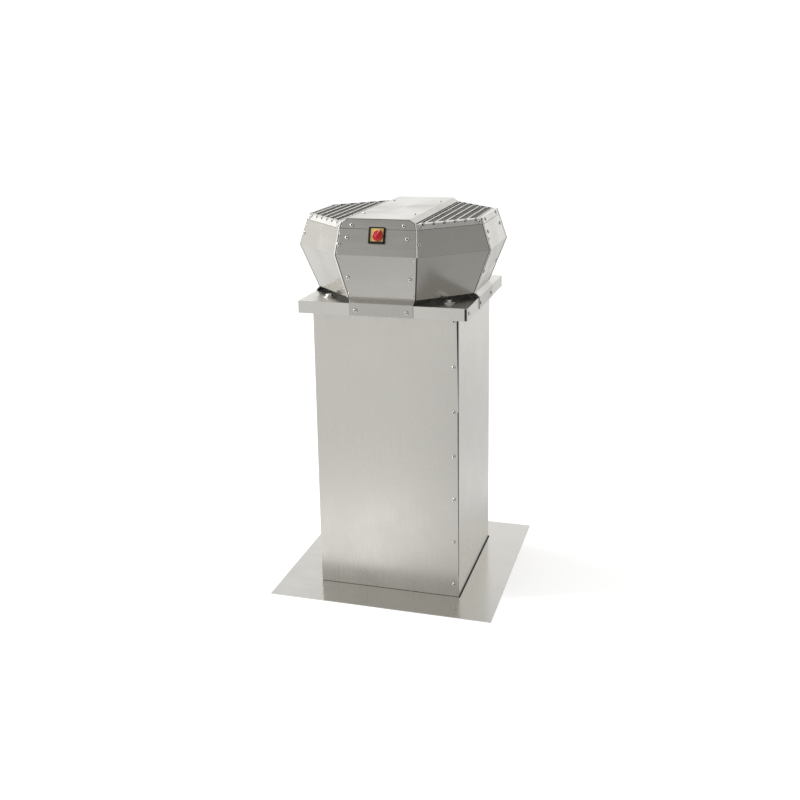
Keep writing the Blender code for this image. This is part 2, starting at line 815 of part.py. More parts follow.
def isolator_frame(mount):
    """Square black surround lying on the panel, open for the yellow plate."""
    half = ISOLATOR_HALF
    top = ISOLATOR_FRAME_TOP
    rim = box("isolator_frame", (-half, -half, REST_GAP), (half, half, top), plastic("isolator_frame", BLACK))
    bevel(rim, 0.0015)
    hole = box_cutter("isolator_window", *isolator_opening(0, -CUT_PAST, top + CUT_PAST))
    boolean(rim, hole)
    hole.parent = mount
    place(rim, parent=mount)


def isolator_plate(mount):
    corners = isolator_opening(REST_GAP, ISOLATOR_PLATE_BOTTOM, ISOLATOR_PLATE_TOP)
    plate = box("isolator_plate", *corners, plastic("isolator_plate", YELLOW, 0.4))
    hole = disc_cutter("isolator_bore", SPINDLE_BORE_R, -CUT_PAST, CUT_PAST, (KNOB_X, KNOB_Y), 16)
    boolean(plate, hole)
    hole.parent = mount
    place(plate, parent=mount)


def isolator_knob(mount):
    """Round red knob with a lever that points up to the right; its origin is on the switch's axis."""
    top = KNOB_SEAT + KNOB_THICK
    red = plastic("isolator_knob", RED, 0.35)
    knob = disc("isolator_knob", KNOB_R, KNOB_SEAT, top, red, 32, top_radius=KNOB_R - KNOB_TAPER)
    low = (-LEVER_HALF_WIDTH, -LEVER_TAIL, KNOB_SEAT + KNOB_THICK / 2)
    high = (LEVER_HALF_WIDTH, LEVER_REACH, KNOB_SEAT + LEVER_HEIGHT)
    lever = box("knob_lever", low, high, None, CUTTERS)
    bevel(as_cutter(lever), 0.003, 3)
    lever.rotation_euler.z = radians(LEVER_TURN)
    boolean(knob, lever, "UNION")
    lever.parent = knob
    place(knob, location=(KNOB_X, KNOB_Y, 0), parent=mount)


def isolator_spindle(mount):
    top = KNOB_SEAT - REST_GAP
    spindle = disc("isolator_spindle", SPINDLE_R, SPINDLE_FOOT, top, steel("isolator_spindle"), 12)
    place(spindle, location=(KNOB_X, KNOB_Y, 0), parent=mount)


def isolator_body(mount):
    """Contact block behind the panel."""
    half = ISOLATOR_BODY_HALF
    low = (-half, -half, ISOLATOR_BODY_BACK)
    body = box("isolator_body", low, (half, half, ISOLATOR_BODY_FRONT), plastic("isolator_body", GREY))
    bevel(body, 0.002)
    place(body, parent=mount)


def cut_panel_window(mount):
    """Opening in the front panel for the plate and the spindle."""
    panel = bpy.data.objects["front_panel"]
    hole = box_cutter("panel_window", *isolator_opening(WINDOW_MARGIN, -CUT_PAST / 2, CUT_PAST / 2))
    hole.parent = mount
    boolean(panel, hole)


# ---- wiring in the bridge ----
def terminal_block(name, bottom, top, grow=0.0, collection=None):
    """Upright block over the terminal box's outline, which it passes by grow on each side."""
    half_x = TERMINAL_BOX_HALF_X + grow
    half_y = TERMINAL_BOX_HALF_Y + grow
    low = (-half_x, TERMINAL_BOX_Y - half_y, bottom)
    high = (half_x, TERMINAL_BOX_Y + half_y, top)
    return box(name, low, high, plastic(name, GREY), collection)


def terminal_box():
    """Open box on the bridge's floor, and its lid."""
    low = BRIDGE_FLOOR + REST_GAP
    top = low + TERMINAL_BOX_HEIGHT
    wall = TERMINAL_BOX_WALL
    shell = terminal_block("terminal_box", low, top)
    hollow = as_cutter(terminal_block("terminal_hollow", low + wall, top + CUT_PAST, -wall, CUTTERS))
    boolean(shell, hollow)
    entry = disc_cutter("gland_hole", GLAND_HOLE_R, -CUT_PAST, CUT_PAST, sides=16)
    entry.location = gland_entry()
    entry.rotation_euler = (radians(90), 0, 0)
    boolean(shell, entry)
    lid_low = top + REST_GAP
    lid = terminal_block("terminal_box_lid", lid_low, lid_low + TERMINAL_LID_THICK, TERMINAL_LID_LAP)
    bevel(lid, 0.0015)


def gland_entry():
    """Centre of the terminal box's cable entry, on its front wall."""
    return Vector((0, TERMINAL_BOX_Y - TERMINAL_BOX_HALF_Y, BRIDGE_FLOOR + REST_GAP + GLAND_HEIGHT))


def cable_gland():
    """Gland in the box's front wall: a thin neck through the hole and a hexagon outside."""
    top = GLAND_NUT_LENGTH
    neck_foot = -GLAND_NECK_REACH
    neck = disc_cutter("gland_neck", GLAND_NECK_R, neck_foot, top / 2, sides=16)
    gland = disc("cable_gland", GLAND_NUT_R, REST_GAP, top, plastic("cable_gland", BLACK), 6)
    boolean(gland, neck, "UNION")
    bore = disc_cutter("gland_bore", GLAND_BORE_R, neck_foot - CUT_PAST, top + CUT_PAST, sides=12)
    boolean(gland, bore)
    for piece in (neck, bore):
        piece.parent = gland
    gland.location = gland_entry()
    gland.rotation_euler = (radians(90), 0, 0)


def motor_cable():
    """Cable from the terminal box to the isolator, clipped along the bridge's floor."""
    start = gland_entry() + Vector((0, 0.008, 0))
    end_z = ISOLATOR_Z - 0.008
    points = [
        start,
        start + Vector((0, -0.014, 0)),
        start + Vector((0, -0.028, 0)),
        start + Vector((0, -0.038, -0.002)),
        Vector((0.004, 0.030, BRIDGE_FLOOR + 0.010)),
        Vector((0.012, -0.040, BRIDGE_FLOOR + 0.0055)),
        Vector((0.010, -0.110, BRIDGE_FLOOR + 0.010)),
        Vector((0.004, -0.170, end_z - 0.012)),
        Vector((0.0, -0.2285, end_z + 0.0045)),
    ]
    curve = bpy.data.curves.new("motor_cable", "CURVE")
    curve.dimensions = "3D"
    curve.bevel_depth = CABLE_R
    curve.bevel_resolution = 2
    curve.use_fill_caps = True
    spline = curve.splines.new("POLY")
    route = smooth_route(points, 5)
    spline.points.add(len(route) - 1)
    for knot, point in zip(spline.points, route):
        knot.co = (*point, 1)
    curve.materials.append(plastic("motor_cable", BLACK, 0.5))
    PARTS.objects.link(bpy.data.objects.new("motor_cable", curve))


def smooth_route(points, steps):
    """Catmull-Rom curve through the points."""
    ends = [2 * points[0] - points[1], *points, 2 * points[-1] - points[-2]]
    route = []
    for before, first, second, after in zip(ends, ends[1:], ends[2:], ends[3:]):
        for step in range(steps):
            t = step / steps
            bend = (2 * before - 5 * first + 4 * second - after) * t * t
            twist = (3 * first - before - 3 * second + after) * t**3
            route.append((2 * first + (second - before) * t + bend + twist) / 2)
    return [*route, points[-1]]


# ---- fasteners ----
def pan_screw(name, location, facing):
    """Pan-head screw with its shank, driven along -Z of its own frame."""
    head = disc(name, SCREW_HEAD_R, REST_GAP, SCREW_HEAD_TOP, steel(name), 16, top_radius=SCREW_CROWN_R)
    shank = disc_cutter(name + "_shank", SCREW_SHANK_R, -SCREW_REACH, SCREW_HEAD_TOP / 2, sides=10)
    shank.parent = head
    boolean(head, shank, "UNION")
    head.location = location
    head.rotation_euler = facing.to_track_quat("Z", "Y").to_euler()


def tab_screws():
    """Two screws through each tab into the base plate's flange."""
    for side, turn in SIDES.items():
        about = Matrix.Rotation(radians(turn), 3, "Z")
        for hand, x in (("left", -TAB_SCREW_X), ("right", TAB_SCREW_X)):
            name = f"tab_screw_{side}_{hand}"
            spot = about @ Vector((x, -TAB_DISTANCE, TAB_SCREW_Z))
            outwards = about @ Vector((0, -1, 0))
            pan_screw(name, spot, outwards)
            foot = -SCREW_REACH - CUT_PAST / 2
            hole = disc_cutter(name + "_hole", SCREW_HOLE_R, foot, CUT_PAST / 2, sides=10)
            hole.location = spot
            hole.rotation_euler = outwards.to_track_quat("Z", "Y").to_euler()
            boolean(bpy.data.objects[side + "_panel"], hole)
            boolean(bpy.data.objects["base_plate"], hole)


def main():
    roof_flange()
    curb_shell("curb_shell_front", 0, FRONT_FOOT, SEAM_OPEN)
    curb_shell("curb_shell_back", 180, SIDE_FOOT, 0.0)
    curb_top_frame()
    curb_seal()
    base_plate()
    inlet_cone()
    corner_fixings()
    for side, turn in SIDES.items():
        narrow_panel(side + "_panel", turn, side in ("front", "back"))
    for corner, turn in CORNERS.items():
        corner_panel(corner + "_panel", turn)
    motor_bridge()
    top_cover()
    grating("right_grating", 0)
    grating("left_grating", 180)
    motor_stator()
    motor_rotor()
    motor_shaft()
    bearing("lower_bearing", LOWER_BEARING_Z)
    bearing("upper_bearing", UPPER_BEARING_Z)
    impeller_backplate()
    impeller_shroud()
    impeller_blades()
    mount = isolator_mount()
    cut_panel_window(mount)
    isolator_frame(mount)
    isolator_plate(mount)
    isolator_knob(mount)
    isolator_spindle(mount)
    isolator_body(mount)
    terminal_box()
    cable_gland()
    motor_cable()
    tab_screws()


clear_scene()
PARTS = new_collection("roof_exhaust_fan")
CUTTERS = new_collection("cutters")
main()
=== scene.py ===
"""Looks of the roof exhaust fan: bent sheet, screws, seals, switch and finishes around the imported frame.

Metres, in the frame's own axes: +Z up, -Y the side with the isolator switch.
"""

import json
from math import cos, pi, radians, sin, tan

import bmesh
import bpy
from mathutils import Matrix, Vector


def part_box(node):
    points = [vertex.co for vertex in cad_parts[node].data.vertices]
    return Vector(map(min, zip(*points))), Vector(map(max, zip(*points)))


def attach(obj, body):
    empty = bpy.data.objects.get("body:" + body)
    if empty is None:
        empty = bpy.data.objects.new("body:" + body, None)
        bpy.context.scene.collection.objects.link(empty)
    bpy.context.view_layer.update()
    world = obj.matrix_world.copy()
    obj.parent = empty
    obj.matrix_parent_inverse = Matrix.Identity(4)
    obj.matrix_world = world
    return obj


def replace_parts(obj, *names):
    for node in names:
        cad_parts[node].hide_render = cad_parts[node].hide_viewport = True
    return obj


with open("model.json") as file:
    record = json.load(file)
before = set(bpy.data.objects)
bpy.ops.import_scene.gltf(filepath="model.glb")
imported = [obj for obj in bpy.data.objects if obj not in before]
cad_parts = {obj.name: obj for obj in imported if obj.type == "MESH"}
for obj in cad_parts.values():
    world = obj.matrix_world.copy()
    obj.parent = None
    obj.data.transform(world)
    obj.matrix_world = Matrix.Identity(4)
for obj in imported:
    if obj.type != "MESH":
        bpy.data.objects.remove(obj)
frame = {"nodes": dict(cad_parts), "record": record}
NODES = frame["nodes"]
SLOT_OF = {part["node"]: part["material_slot"] for part in frame["record"]["subparts"]}
BODY_OF = {node: body for body, nodes in frame["record"]["behaviour"]["bodies"].items() for node in nodes}
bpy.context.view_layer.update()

WELD = 0.00001
FOLD_RADIUS = 0.0024
INNER_RADIUS = 0.0009
EDGE_RADIUS = 0.00025
THIN_FACE = 0.003
SIDES = {"front": 0, "right": 90, "back": 180, "left": 270}
CORNERS = {"front_right": 0, "back_right": 90, "back_left": 180, "front_left": 270}

# Hood fold lines as in the frame: height, distance of the narrow panels, half width of the narrow panels.
HOOD_FOOT = (0.9370, 0.2472, 0.1029)
HOOD_WIDE = (1.0726, 0.2992, 0.1229)
HOOD_SHOULDER = (1.1473, 0.2757, 0.1155)
HOOD_RIM = (1.1653, 0.2702, 0.1104)
HOOD_LEVELS = (HOOD_FOOT, HOOD_WIDE, HOOD_SHOULDER, HOOD_RIM)
CURB_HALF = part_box("curb_shell_front")[0].x * -1
PLATE_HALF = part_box("base_plate")[1].x
PLATE_SLIT = 0.008
CROWN_Z = 1.1765

SCREW_RADIUS = 0.0055
SMALL_SCREW_RADIUS = SCREW_RADIUS * 0.92
COVER_SCREW_RADIUS = 0.0041
RIVET_RADIUS = 0.0028
BEAD_STEPS = 8
SHADE_BEAD_STEPS = 14
SEAM_TAPER_Z = 0.5600
SEAM_WIDEST_Z = 0.8700
SEAM_TOP = 0.9130
SEAM_CLOSED = 0.0006
SEAM_OPEN = 0.0055
SHADE_STRIP_FOOT_Z = 0.0700
FOOT_BEAD = 0.0034

GRATING_Z = 1.1625
GRATING_LIP_DEPTH = 0.0045
GRATING_FOOT = 0.0020
RIM_WIDTH = 0.0098
RIM_WALL = 0.0030
LONG_BARS = 6
FIRST_BAR_X = 0.129
BAR_PITCH = 0.025
CROSS_BARS = 21
ROD_RADIUS = 0.0016
CROSS_ROD_RADIUS = 0.0012
ROD_INSET = 0.0045
ROD_DROP = 0.0006
CROSS_ROD_DROP = 0.0026

EDGE_ROLL = 0.0015
EDGE_INSET = 0.0001
LAP_Z = 1.1473
LAP_PROFILE = ((-0.0005, -0.0004), (0.0005, -0.0004), (0.0005, 0.0002), (-0.0005, 0.0002))
LIP_PROFILE = (
    (-0.0006, -0.0006), (0.0042, -0.0006), (0.0042, 0.0008),
    (0.0036, 0.0014), (0.0, 0.0014), (-0.0006, 0.0008),
)
LAP_REACH = 0.110
LAP_GAP = 0.0265
SEAM_SHADE_DEPTH = 0.0006
SEAM_SHADE_RISE = 0.0005

JOINTS = {joint["name"]: joint for joint in frame["record"]["behaviour"]["joints"]}
TURN_JOINT = JOINTS["isolator_turn"]
SWITCH_HALF = 0.0240
SWITCH_BORDER = 0.0042
WINDOW_SHIFT = 0.0013
KNOB_X, KNOB_Y = 0.0045, -0.0015
KNOB_RADIUS = 0.0155
LEVER_TIP_WIDTH = 0.0075
LEVER_ROOT_WIDTH = 0.0098


# ---- node helpers ----
def node(tree, kind, inputs=(), **settings):
    """Adds a shader node; an input's value is a number, a tuple, or another node's output."""
    made = tree.nodes.new("ShaderNode" + kind)
    for key, value in settings.items():
        setattr(made, key, value)
    for key, value in dict(inputs).items():
        if isinstance(value, bpy.types.NodeSocket):
            tree.links.new(value, made.inputs[key])
        else:
            made.inputs[key].default_value = value
    return made


def noise(tree, place, scale, detail=2.0, roughness=0.5):
    made = node(tree, "TexNoise", {"Vector": place, "Scale": scale, "Detail": detail, "Roughness": roughness})
    return made.outputs["Fac"]


def stretched(tree, place, scale):
    return node(tree, "Mapping", {"Vector": place, "Scale": scale}).outputs["Vector"]


def maths(tree, operation, first, second=0.0, third=0.0):
    made = node(tree, "Math", {0: first, 1: second, 2: third}, operation=operation)
    return made.outputs["Value"]


def remap(tree, value, low, high, out_low, out_high):
    inputs = {"Value": value, "From Min": low, "From Max": high, "To Min": out_low, "To Max": out_high}
    return node(tree, "MapRange", inputs, interpolation_type="SMOOTHSTEP").outputs["Result"]


def mix_colour(tree, factor, first, second):
    made = tree.nodes.new("ShaderNodeMix")
    made.data_type = "RGBA"
    sockets = {"Factor_Float": factor, "A_Color": first, "B_Color": second}
    for socket in made.inputs:
        value = sockets.get(socket.identifier)
        if isinstance(value, bpy.types.NodeSocket):
            tree.links.new(value, socket)
        elif value is not None:
            socket.default_value = value
    return next(out for out in made.outputs if out.identifier == "Result_Color")


def ramp(tree, value, stops):
    """Value read off a line of (place, level) stops."""
    made = node(tree, "ValToRGB", {"Fac": value})
    elements = made.color_ramp.elements
    for index, (place, level) in enumerate(stops):
        element = elements[index] if index < 2 else elements.new(place)
        element.position = place
        element.color = (level, level, level, 1)
    return made.outputs["Color"]


def new_material(name, metallic=0.0, **sockets):
    """A material with its Principled shader; sockets are the values that are uniform over the surface."""
    material = bpy.data.materials.new(name)
    material.use_nodes = True
    shader = material.node_tree.nodes["Principled BSDF"]
    shader.inputs["Metallic"].default_value = metallic
    for key, value in sockets.items():
        shader.inputs[key.replace("_", " ")].default_value = value
    return material, material.node_tree, shader


def scaled(colour, factor):
    return (*(channel * factor for channel in colour), 1.0)


def object_place(tree):
    return node(tree, "TexCoord").outputs["Object"]


def grain_place(tree):
    return node(tree, "UVMap", uv_map="grain").outputs["UV"]


# ---- finishes ----
HANDLING_SHARE = 0.06
HANDLING_COLOUR = (0.50, 0.48, 0.44, 1.0)
DUST_COLOUR = (0.30, 0.29, 0.27, 1.0)


def brushed(name, colour, roughness, streak, waves, across=True, scratch_depth=0.35):
    """Brushed stainless sheet: scratches along U of the grain map, soft buckles, and faint handling marks."""
    rotation = 0.0 if across else 0.25
    material, tree, shader = new_material(name, 1.0, Anisotropic=0.45, Anisotropic_Rotation=rotation)
    place = grain_place(tree)
    world = object_place(tree)
    fine = noise(tree, stretched(tree, place, (26, 2600, 1) if across else (2600, 26, 1)), 1.0, 2.0)
    broad = noise(tree, stretched(tree, place, (5, 260, 1) if across else (260, 5, 1)), 1.0, 3.0, 0.6)
    blotch = noise(tree, world, 9.0, 3.0, 0.55)
    smear = noise(tree, world, 38.0, 4.0, 0.65)
    tone = maths(tree, "ADD", maths(tree, "MULTIPLY", fine, 0.45), maths(tree, "MULTIPLY", broad, 0.55))
    lines = remap(tree, tone, 0.25, 0.75, 0, 1)
    base = mix_colour(tree, lines, scaled(colour, 1 - streak), scaled(colour, 1 + streak))
    marks = remap(tree, smear, 0.50, 0.78, 0.0, HANDLING_SHARE)
    base = mix_colour(tree, marks, base, HANDLING_COLOUR)
    tree.links.new(base, shader.inputs["Base Color"])
    rough = maths(tree, "ADD", remap(tree, broad, 0.2, 0.8, roughness - 0.05, roughness + 0.05),
                  remap(tree, blotch, 0.3, 0.7, -0.03, 0.04))
    tree.links.new(rough, shader.inputs["Roughness"])
    scratch = node(tree, "Bump", {"Height": tone, "Strength": scratch_depth, "Distance": 0.00003})
    buckle = noise(tree, world, 4.2, 1.0, 0.4)
    below = scratch.outputs["Normal"]
    wave = node(tree, "Bump", {"Height": buckle, "Strength": 1.0, "Distance": waves, "Normal": below})
    tree.links.new(wave.outputs["Normal"], shader.inputs["Normal"])
    return material


def bright_metal(name, colour, roughness, spot=400.0):
    """Turned or cold-headed metal: fine machining marks and slightly uneven gloss."""
    material, tree, shader = new_material(name, 1.0)
    world = object_place(tree)
    fine = noise(tree, world, spot, 3.0, 0.6)
    base = mix_colour(tree, fine, scaled(colour, 0.86), scaled(colour, 1.08))
    tree.links.new(base, shader.inputs["Base Color"])
    dulled = remap(tree, fine, 0.3, 0.7, roughness - 0.05, roughness + 0.07)
    tree.links.new(dulled, shader.inputs["Roughness"])
    bump = node(tree, "Bump", {"Height": fine, "Strength": 0.3, "Distance": 0.00004})
    tree.links.new(bump.outputs["Normal"], shader.inputs["Normal"])
    return material


def spangled(name, colour):
    """Hot-dip galvanised sheet with its crystal spangle."""
    material, tree, shader = new_material(name, 1.0)
    world = object_place(tree)
    warp = noise(tree, world, 60.0, 2.0)
    nudge = {"X": maths(tree, "MULTIPLY", warp, 0.01), "Y": maths(tree, "MULTIPLY", warp, 0.012)}
    moved = {0: world, 1: node(tree, "CombineXYZ", nudge).outputs["Vector"]}
    place = node(tree, "VectorMath", moved, operation="ADD").outputs["Vector"]
    cells = node(tree, "TexVoronoi", {"Vector": place, "Scale": 75.0})
    shade = node(tree, "SeparateColor", {"Color": cells.outputs["Color"]}).outputs["Red"]
    base = mix_colour(tree, shade, scaled(colour, 0.72), scaled(colour, 1.12))
    tree.links.new(base, shader.inputs["Base Color"])
    tree.links.new(remap(tree, shade, 0, 1, 0.30, 0.52), shader.inputs["Roughness"])
    bump = node(tree, "Bump", {"Height": shade, "Strength": 0.2, "Distance": 0.00008})
    tree.links.new(bump.outputs["Normal"], shader.inputs["Normal"])
    return material


def moulded(name, colour, roughness, grain=900.0, depth=0.00005, coat=0.0, specular=0.5):
    """Moulded plastic: fine eroded texture, slightly uneven colour and gloss."""
    material, tree, shader = new_material(
        name, 0.0, Coat_Weight=coat, Coat_Roughness=0.12, Specular_IOR_Level=specular
    )
    world = object_place(tree)
    fine = noise(tree, world, grain, 3.0, 0.6)
    cloud = noise(tree, world, 55.0, 3.0)
    base = mix_colour(tree, remap(tree, cloud, 0.3, 0.7, 0, 1), scaled(colour, 0.88), scaled(colour, 1.08))
    tree.links.new(base, shader.inputs["Base Color"])
    dulled = remap(tree, fine, 0.3, 0.7, roughness - 0.06, roughness + 0.08)
    tree.links.new(dulled, shader.inputs["Roughness"])
    bump = node(tree, "Bump", {"Height": fine, "Strength": 0.5, "Distance": depth})
    tree.links.new(bump.outputs["Normal"], shader.inputs["Normal"])
    return material


def foam(name, colour):
    """Closed-cell foam: open cut cells on a matte dark surface."""
    material, tree, shader = new_material(name, 0.0, Roughness=0.92)
    cells = node(tree, "TexVoronoi", {"Vector": object_place(tree), "Scale": 700.0}).outputs["Distance"]
    base = mix_colour(tree, remap(tree, cells, 0.0, 0.6, 0, 1), scaled(colour, 0.5), scaled(colour, 1.6))
    tree.links.new(base, shader.inputs["Base Color"])
    bump = node(tree, "Bump", {"Height": cells, "Strength": 0.8, "Distance": 0.0004})
    tree.links.new(bump.outputs["Normal"], shader.inputs["Normal"])
    return material


def painted_casting(name, colour, roughness=0.5):
    """Painted cast metal: orange-peel paint over a slightly coarse casting."""
    material, tree, shader = new_material(name, 0.25)
    world = object_place(tree)
    peel = noise(tree, world, 420.0, 2.0)
    dust = noise(tree, world, 30.0, 5.0, 0.7)
    base = mix_colour(tree, remap(tree, dust, 0.45, 0.75, 0, 0.4), scaled(colour, 1.0), DUST_COLOUR)
    tree.links.new(base, shader.inputs["Base Color"])
    tree.links.new(remap(tree, dust, 0.3, 0.7, roughness - 0.08, roughness + 0.1), shader.inputs["Roughness"])
    bump = node(tree, "Bump", {"Height": peel, "Strength": 0.5, "Distance": 0.00015})
    tree.links.new(bump.outputs["Normal"], shader.inputs["Normal"])
    return material


FINISH = {
    "hood_steel": brushed("hood_steel", (0.50, 0.487, 0.452), 0.24, 0.04, 0.0004, scratch_depth=0.15),
    "curb_steel": brushed("curb_steel", (0.67, 0.651, 0.605), 0.29, 0.012, 0.0005, False, 0.06),
    "roof_flange_steel": brushed("roof_flange_steel", (0.72, 0.709, 0.680), 0.17, 0.03, 0.0003),
    "base_plate_steel": brushed("base_plate_steel", (0.66, 0.645, 0.604), 0.24, 0.04, 0.0002, True, 0.2),
    "grating_steel": bright_metal("grating_steel", (0.76, 0.75, 0.72), 0.28, 160.0),
    "galvanised_steel": spangled("galvanised_steel", (0.55, 0.57, 0.58)),
    "foam_rubber": foam("foam_rubber", (0.03, 0.03, 0.032)),
    "aluminium_sheet": bright_metal("aluminium_sheet", (0.66, 0.67, 0.68), 0.34, 120.0),
    "motor_core": painted_casting("motor_core", (0.20, 0.21, 0.22)),
    "motor_black": painted_casting("motor_black", (0.05, 0.05, 0.055), 0.42),
    "bright_steel": bright_metal("bright_steel", (0.72, 0.72, 0.72), 0.16, 700.0),
    "fastener_steel": bright_metal("fastener_steel", (0.90, 0.89, 0.86), 0.16, 900.0),
    "yellow_plastic": moulded("yellow_plastic", (0.90, 0.72, 0.24), 0.36),
    "red_plastic": moulded("red_plastic", (0.66, 0.010, 0.024), 0.20, 500.0, 0.00002, 0.6),
    "black_plastic": moulded("black_plastic", (0.007, 0.007, 0.007), 0.50, specular=0.3),
    "grey_plastic": moulded("grey_plastic", (0.32, 0.33, 0.34), 0.5),
    "cable_sheath": moulded("cable_sheath", (0.03, 0.03, 0.03), 0.55, 300.0),
}
# Black rubber of the screws' sealing washers; the same black is painted shade in the screws' drive recesses.
WASHER_RUBBER_AND_DRIVE_SHADE = moulded("screw_washer_and_drive_shade", (0.012, 0.012, 0.012), 0.6, specular=0.3)
# Darker copy of the grating steel: painted shade on the grating's bars, notches and inner rim walls.
SHADED_BARS = bright_metal("grating_bars_painted_shade", (0.22, 0.22, 0.22), 0.36, 160.0)


# ---- mesh helpers ----
def finished(name, bm, slot, body, modifiers=(), shade_angle=40, extra=()):
    """Turns a bmesh into a piece: modifiers applied, grain map made, materials and body set."""
    mesh = bpy.data.meshes.new(name)
    bm.to_mesh(mesh)
    bm.free()
    obj = bpy.data.objects.new(name, mesh)
    bpy.context.scene.collection.objects.link(obj)
    mesh.shade_smooth()
    for kind, settings in modifiers:
        modifier = obj.modifiers.new(kind.title(), kind)
        for key, value in settings.items():
            setattr(modifier, key, value)
    if modifiers:
        depsgraph = bpy.context.evaluated_depsgraph_get()
        final = bpy.data.meshes.new_from_object(
            obj.evaluated_get(depsgraph), preserve_all_data_layers=True, depsgraph=depsgraph
        )
        obj.modifiers.clear()
        obj.data = final
        bpy.data.meshes.remove(mesh)
        final.name = name
    else:
        obj.data.set_sharp_from_angle(angle=radians(shade_angle))
    map_grain(obj.data)
    for material in (FINISH[slot], *extra):
        obj.data.materials.append(material)
    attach(obj, body)
    return obj


def map_grain(mesh):
    """Grain map in metres: U runs level across each face, V up its slope; on level faces U runs along X."""
    layer = mesh.uv_layers.get("grain") or mesh.uv_layers.new(name="grain")
    for polygon in mesh.polygons:
        normal = polygon.normal
        if abs(normal.z) > 0.9:
            across = Vector((1, 0, 0))
        else:
            across = Vector((0, 0, 1)).cross(normal).normalized()
        up = normal.cross(across)
        for loop in polygon.loop_indices:
            point = mesh.vertices[mesh.loops[loop].vertex_index].co
            layer.data[loop].uv = (point.dot(across), point.dot(up))


def loft(bm, rings, closed=False):
    """Skin through rings of equally many points, with caps, or with the last ring joined to the first.

    Returns the faces of each band, and the caps."""
    made = [[bm.verts.new(spot) for spot in ring] for ring in rings]
    pairs = list(zip(made, made[1:]))
    if closed:
        pairs.append((made[-1], made[0]))
    bands = []
    for lower, upper in pairs:
        turned = zip(lower, lower[1:] + lower[:1], upper[1:] + upper[:1], upper)
        bands.append([bm.faces.new(corners) for corners in turned])
    caps = [] if closed else [bm.faces.new(list(reversed(made[0]))), bm.faces.new(made[-1])]
    return bands, caps


def circle(radius, height, points=48, lobes=0, depth=0.0):
    """Points round a circle, or round an outline with lobes of a given depth."""
    spots = []
    for index in range(points):
        angle = 2 * pi * index / points
        reach = radius + depth * cos(lobes * angle)
        spots.append(Vector((reach * cos(angle), reach * sin(angle), height)))
    return spots


def rounded_square(half, corner, height, shift=0.0, steps=6):
    """Outline of a square with round corners, its centre shifted equally along X and Y."""
    spots = []
    for quarter in range(4):
        about = Matrix.Rotation(quarter * pi / 2, 3, "Z")
        for step in range(steps + 1):
            angle = pi / 2 * step / steps
            spot = Vector((half - corner + corner * cos(angle), half - corner + corner * sin(angle), 0))
            spots.append(about @ spot + Vector((shift, shift, height)))
    return spots


def drawn_in(ring, centre, radius, height):
    """Points on a circle, one in the direction of each of a ring's points; between groups it runs straight."""
    spots = []
    for spot in ring:
        away = Vector((spot.x - centre[0], spot.y - centre[1], 0)).normalized() * radius
        spots.append(Vector((centre[0] + away.x, centre[1] + away.y, height)))
    return spots


def placed(rings, matrix):
    return [[matrix @ spot for spot in ring] for ring in rings]


def face_width(face):
    """Width of a long strip of a face, from its area and outline."""
    return 2 * face.calc_area() / sum(edge.calc_length() for edge in face.edges)


def bend_offset(edge):
    """How far an edge's rounding reaches on its faces: bends by their radius, cut edges a burr's width."""
    if len(edge.link_faces) != 2:
        return 0.0
    angle = edge.calc_face_angle()
    if angle < radians(8):
        return 0.0
    if min(face_width(face) for face in edge.link_faces) < THIN_FACE:
        return EDGE_RADIUS
    radius = FOLD_RADIUS if edge.is_convex else INNER_RADIUS
    return radius * tan(angle / 2)


def copied(name):
    """The node's shape as a bmesh with its faces joined, without the frame's own normals."""
    source = NODES[name].data
    bm = bmesh.new()
    verts = [bm.verts.new(vert.co) for vert in source.vertices]
    for polygon in source.polygons:
        bm.faces.new([verts[index] for index in polygon.vertices])
    bmesh.ops.remove_doubles(bm, verts=bm.verts, dist=WELD)
    return bm


def welded_copy(name):
    """The node's shape with its flat faces whole again."""
    bm = copied(name)
    bmesh.ops.dissolve_limit(bm, angle_limit=radians(0.6), verts=bm.verts, edges=bm.edges)
    return bm


def cut_off_above(bm, height):
    """Takes off what stands above a height, and closes the face below it."""
    above = [vert for vert in bm.verts if vert.co.z > height + WELD]
    bmesh.ops.delete(bm, geom=above, context="VERTS")
    bmesh.ops.holes_fill(bm, edges=bm.edges, sides=0)
    bmesh.ops.dissolve_limit(bm, angle_limit=radians(0.6), verts=bm.verts, edges=bm.edges)


def bent_sheet(name, top=None, corners="MITER_ARC"):
    """Sheet-metal version of a node: rounded bends, and cut edges with their burr taken off."""
    bm = welded_copy(name)
    if top:
        cut_off_above(bm, top)
    weights = bm.edges.layers.float.new("bevel_weight_edge")
    for edge in bm.edges:
        edge[weights] = bend_offset(edge) / FOLD_RADIUS
    bevel = {"width": FOLD_RADIUS, "segments": 3, "limit_method": "WEIGHT", "use_clamp_overlap": False,
             "harden_normals": True, "miter_outer": corners}
    piece = finished(name + "_sheet", bm, SLOT_OF[name], BODY_OF[name], [("BEVEL", bevel)])
    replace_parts(piece, name)


# Width of the softened edges of solids that are mostly out of sight.
EDGE_WIDTHS = {
    "motor_stator": 0.0010, "motor_rotor": 0.0015, "motor_shaft": 0.0006, "lower_bearing": 0.0006,
    "upper_bearing": 0.0006, "terminal_box": 0.0008, "terminal_box_lid": 0.0005, "isolator_body": 0.0008,
    "cable_gland": 0.0005, "curb_seal": 0.0010, "motor_bridge": 0.0004, "curb_top_frame": 0.0005,
}
EDGE_WIDTHS.update({name: 0.0007 for name in NODES if name.startswith(("corner_bolt", "corner_washer"))})


def softened(name, width):
    """A node's shape with its sharp edges broken by a small chamfer, rounded over."""
    bm = welded_copy(name)
    bevel = {"width": width, "segments": 2, "limit_method": "ANGLE", "angle_limit": radians(32),
             "use_clamp_overlap": True, "harden_normals": True}
    piece = finished(name + "_soft", bm, SLOT_OF[name], BODY_OF[name], [("BEVEL", bevel)])
    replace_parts(piece, name)


def dress_frame():
    """Every node of the frame wears its slot's finish."""
    for name, obj in NODES.items():
        for slot in obj.material_slots:
            slot.material = FINISH[SLOT_OF[name]]


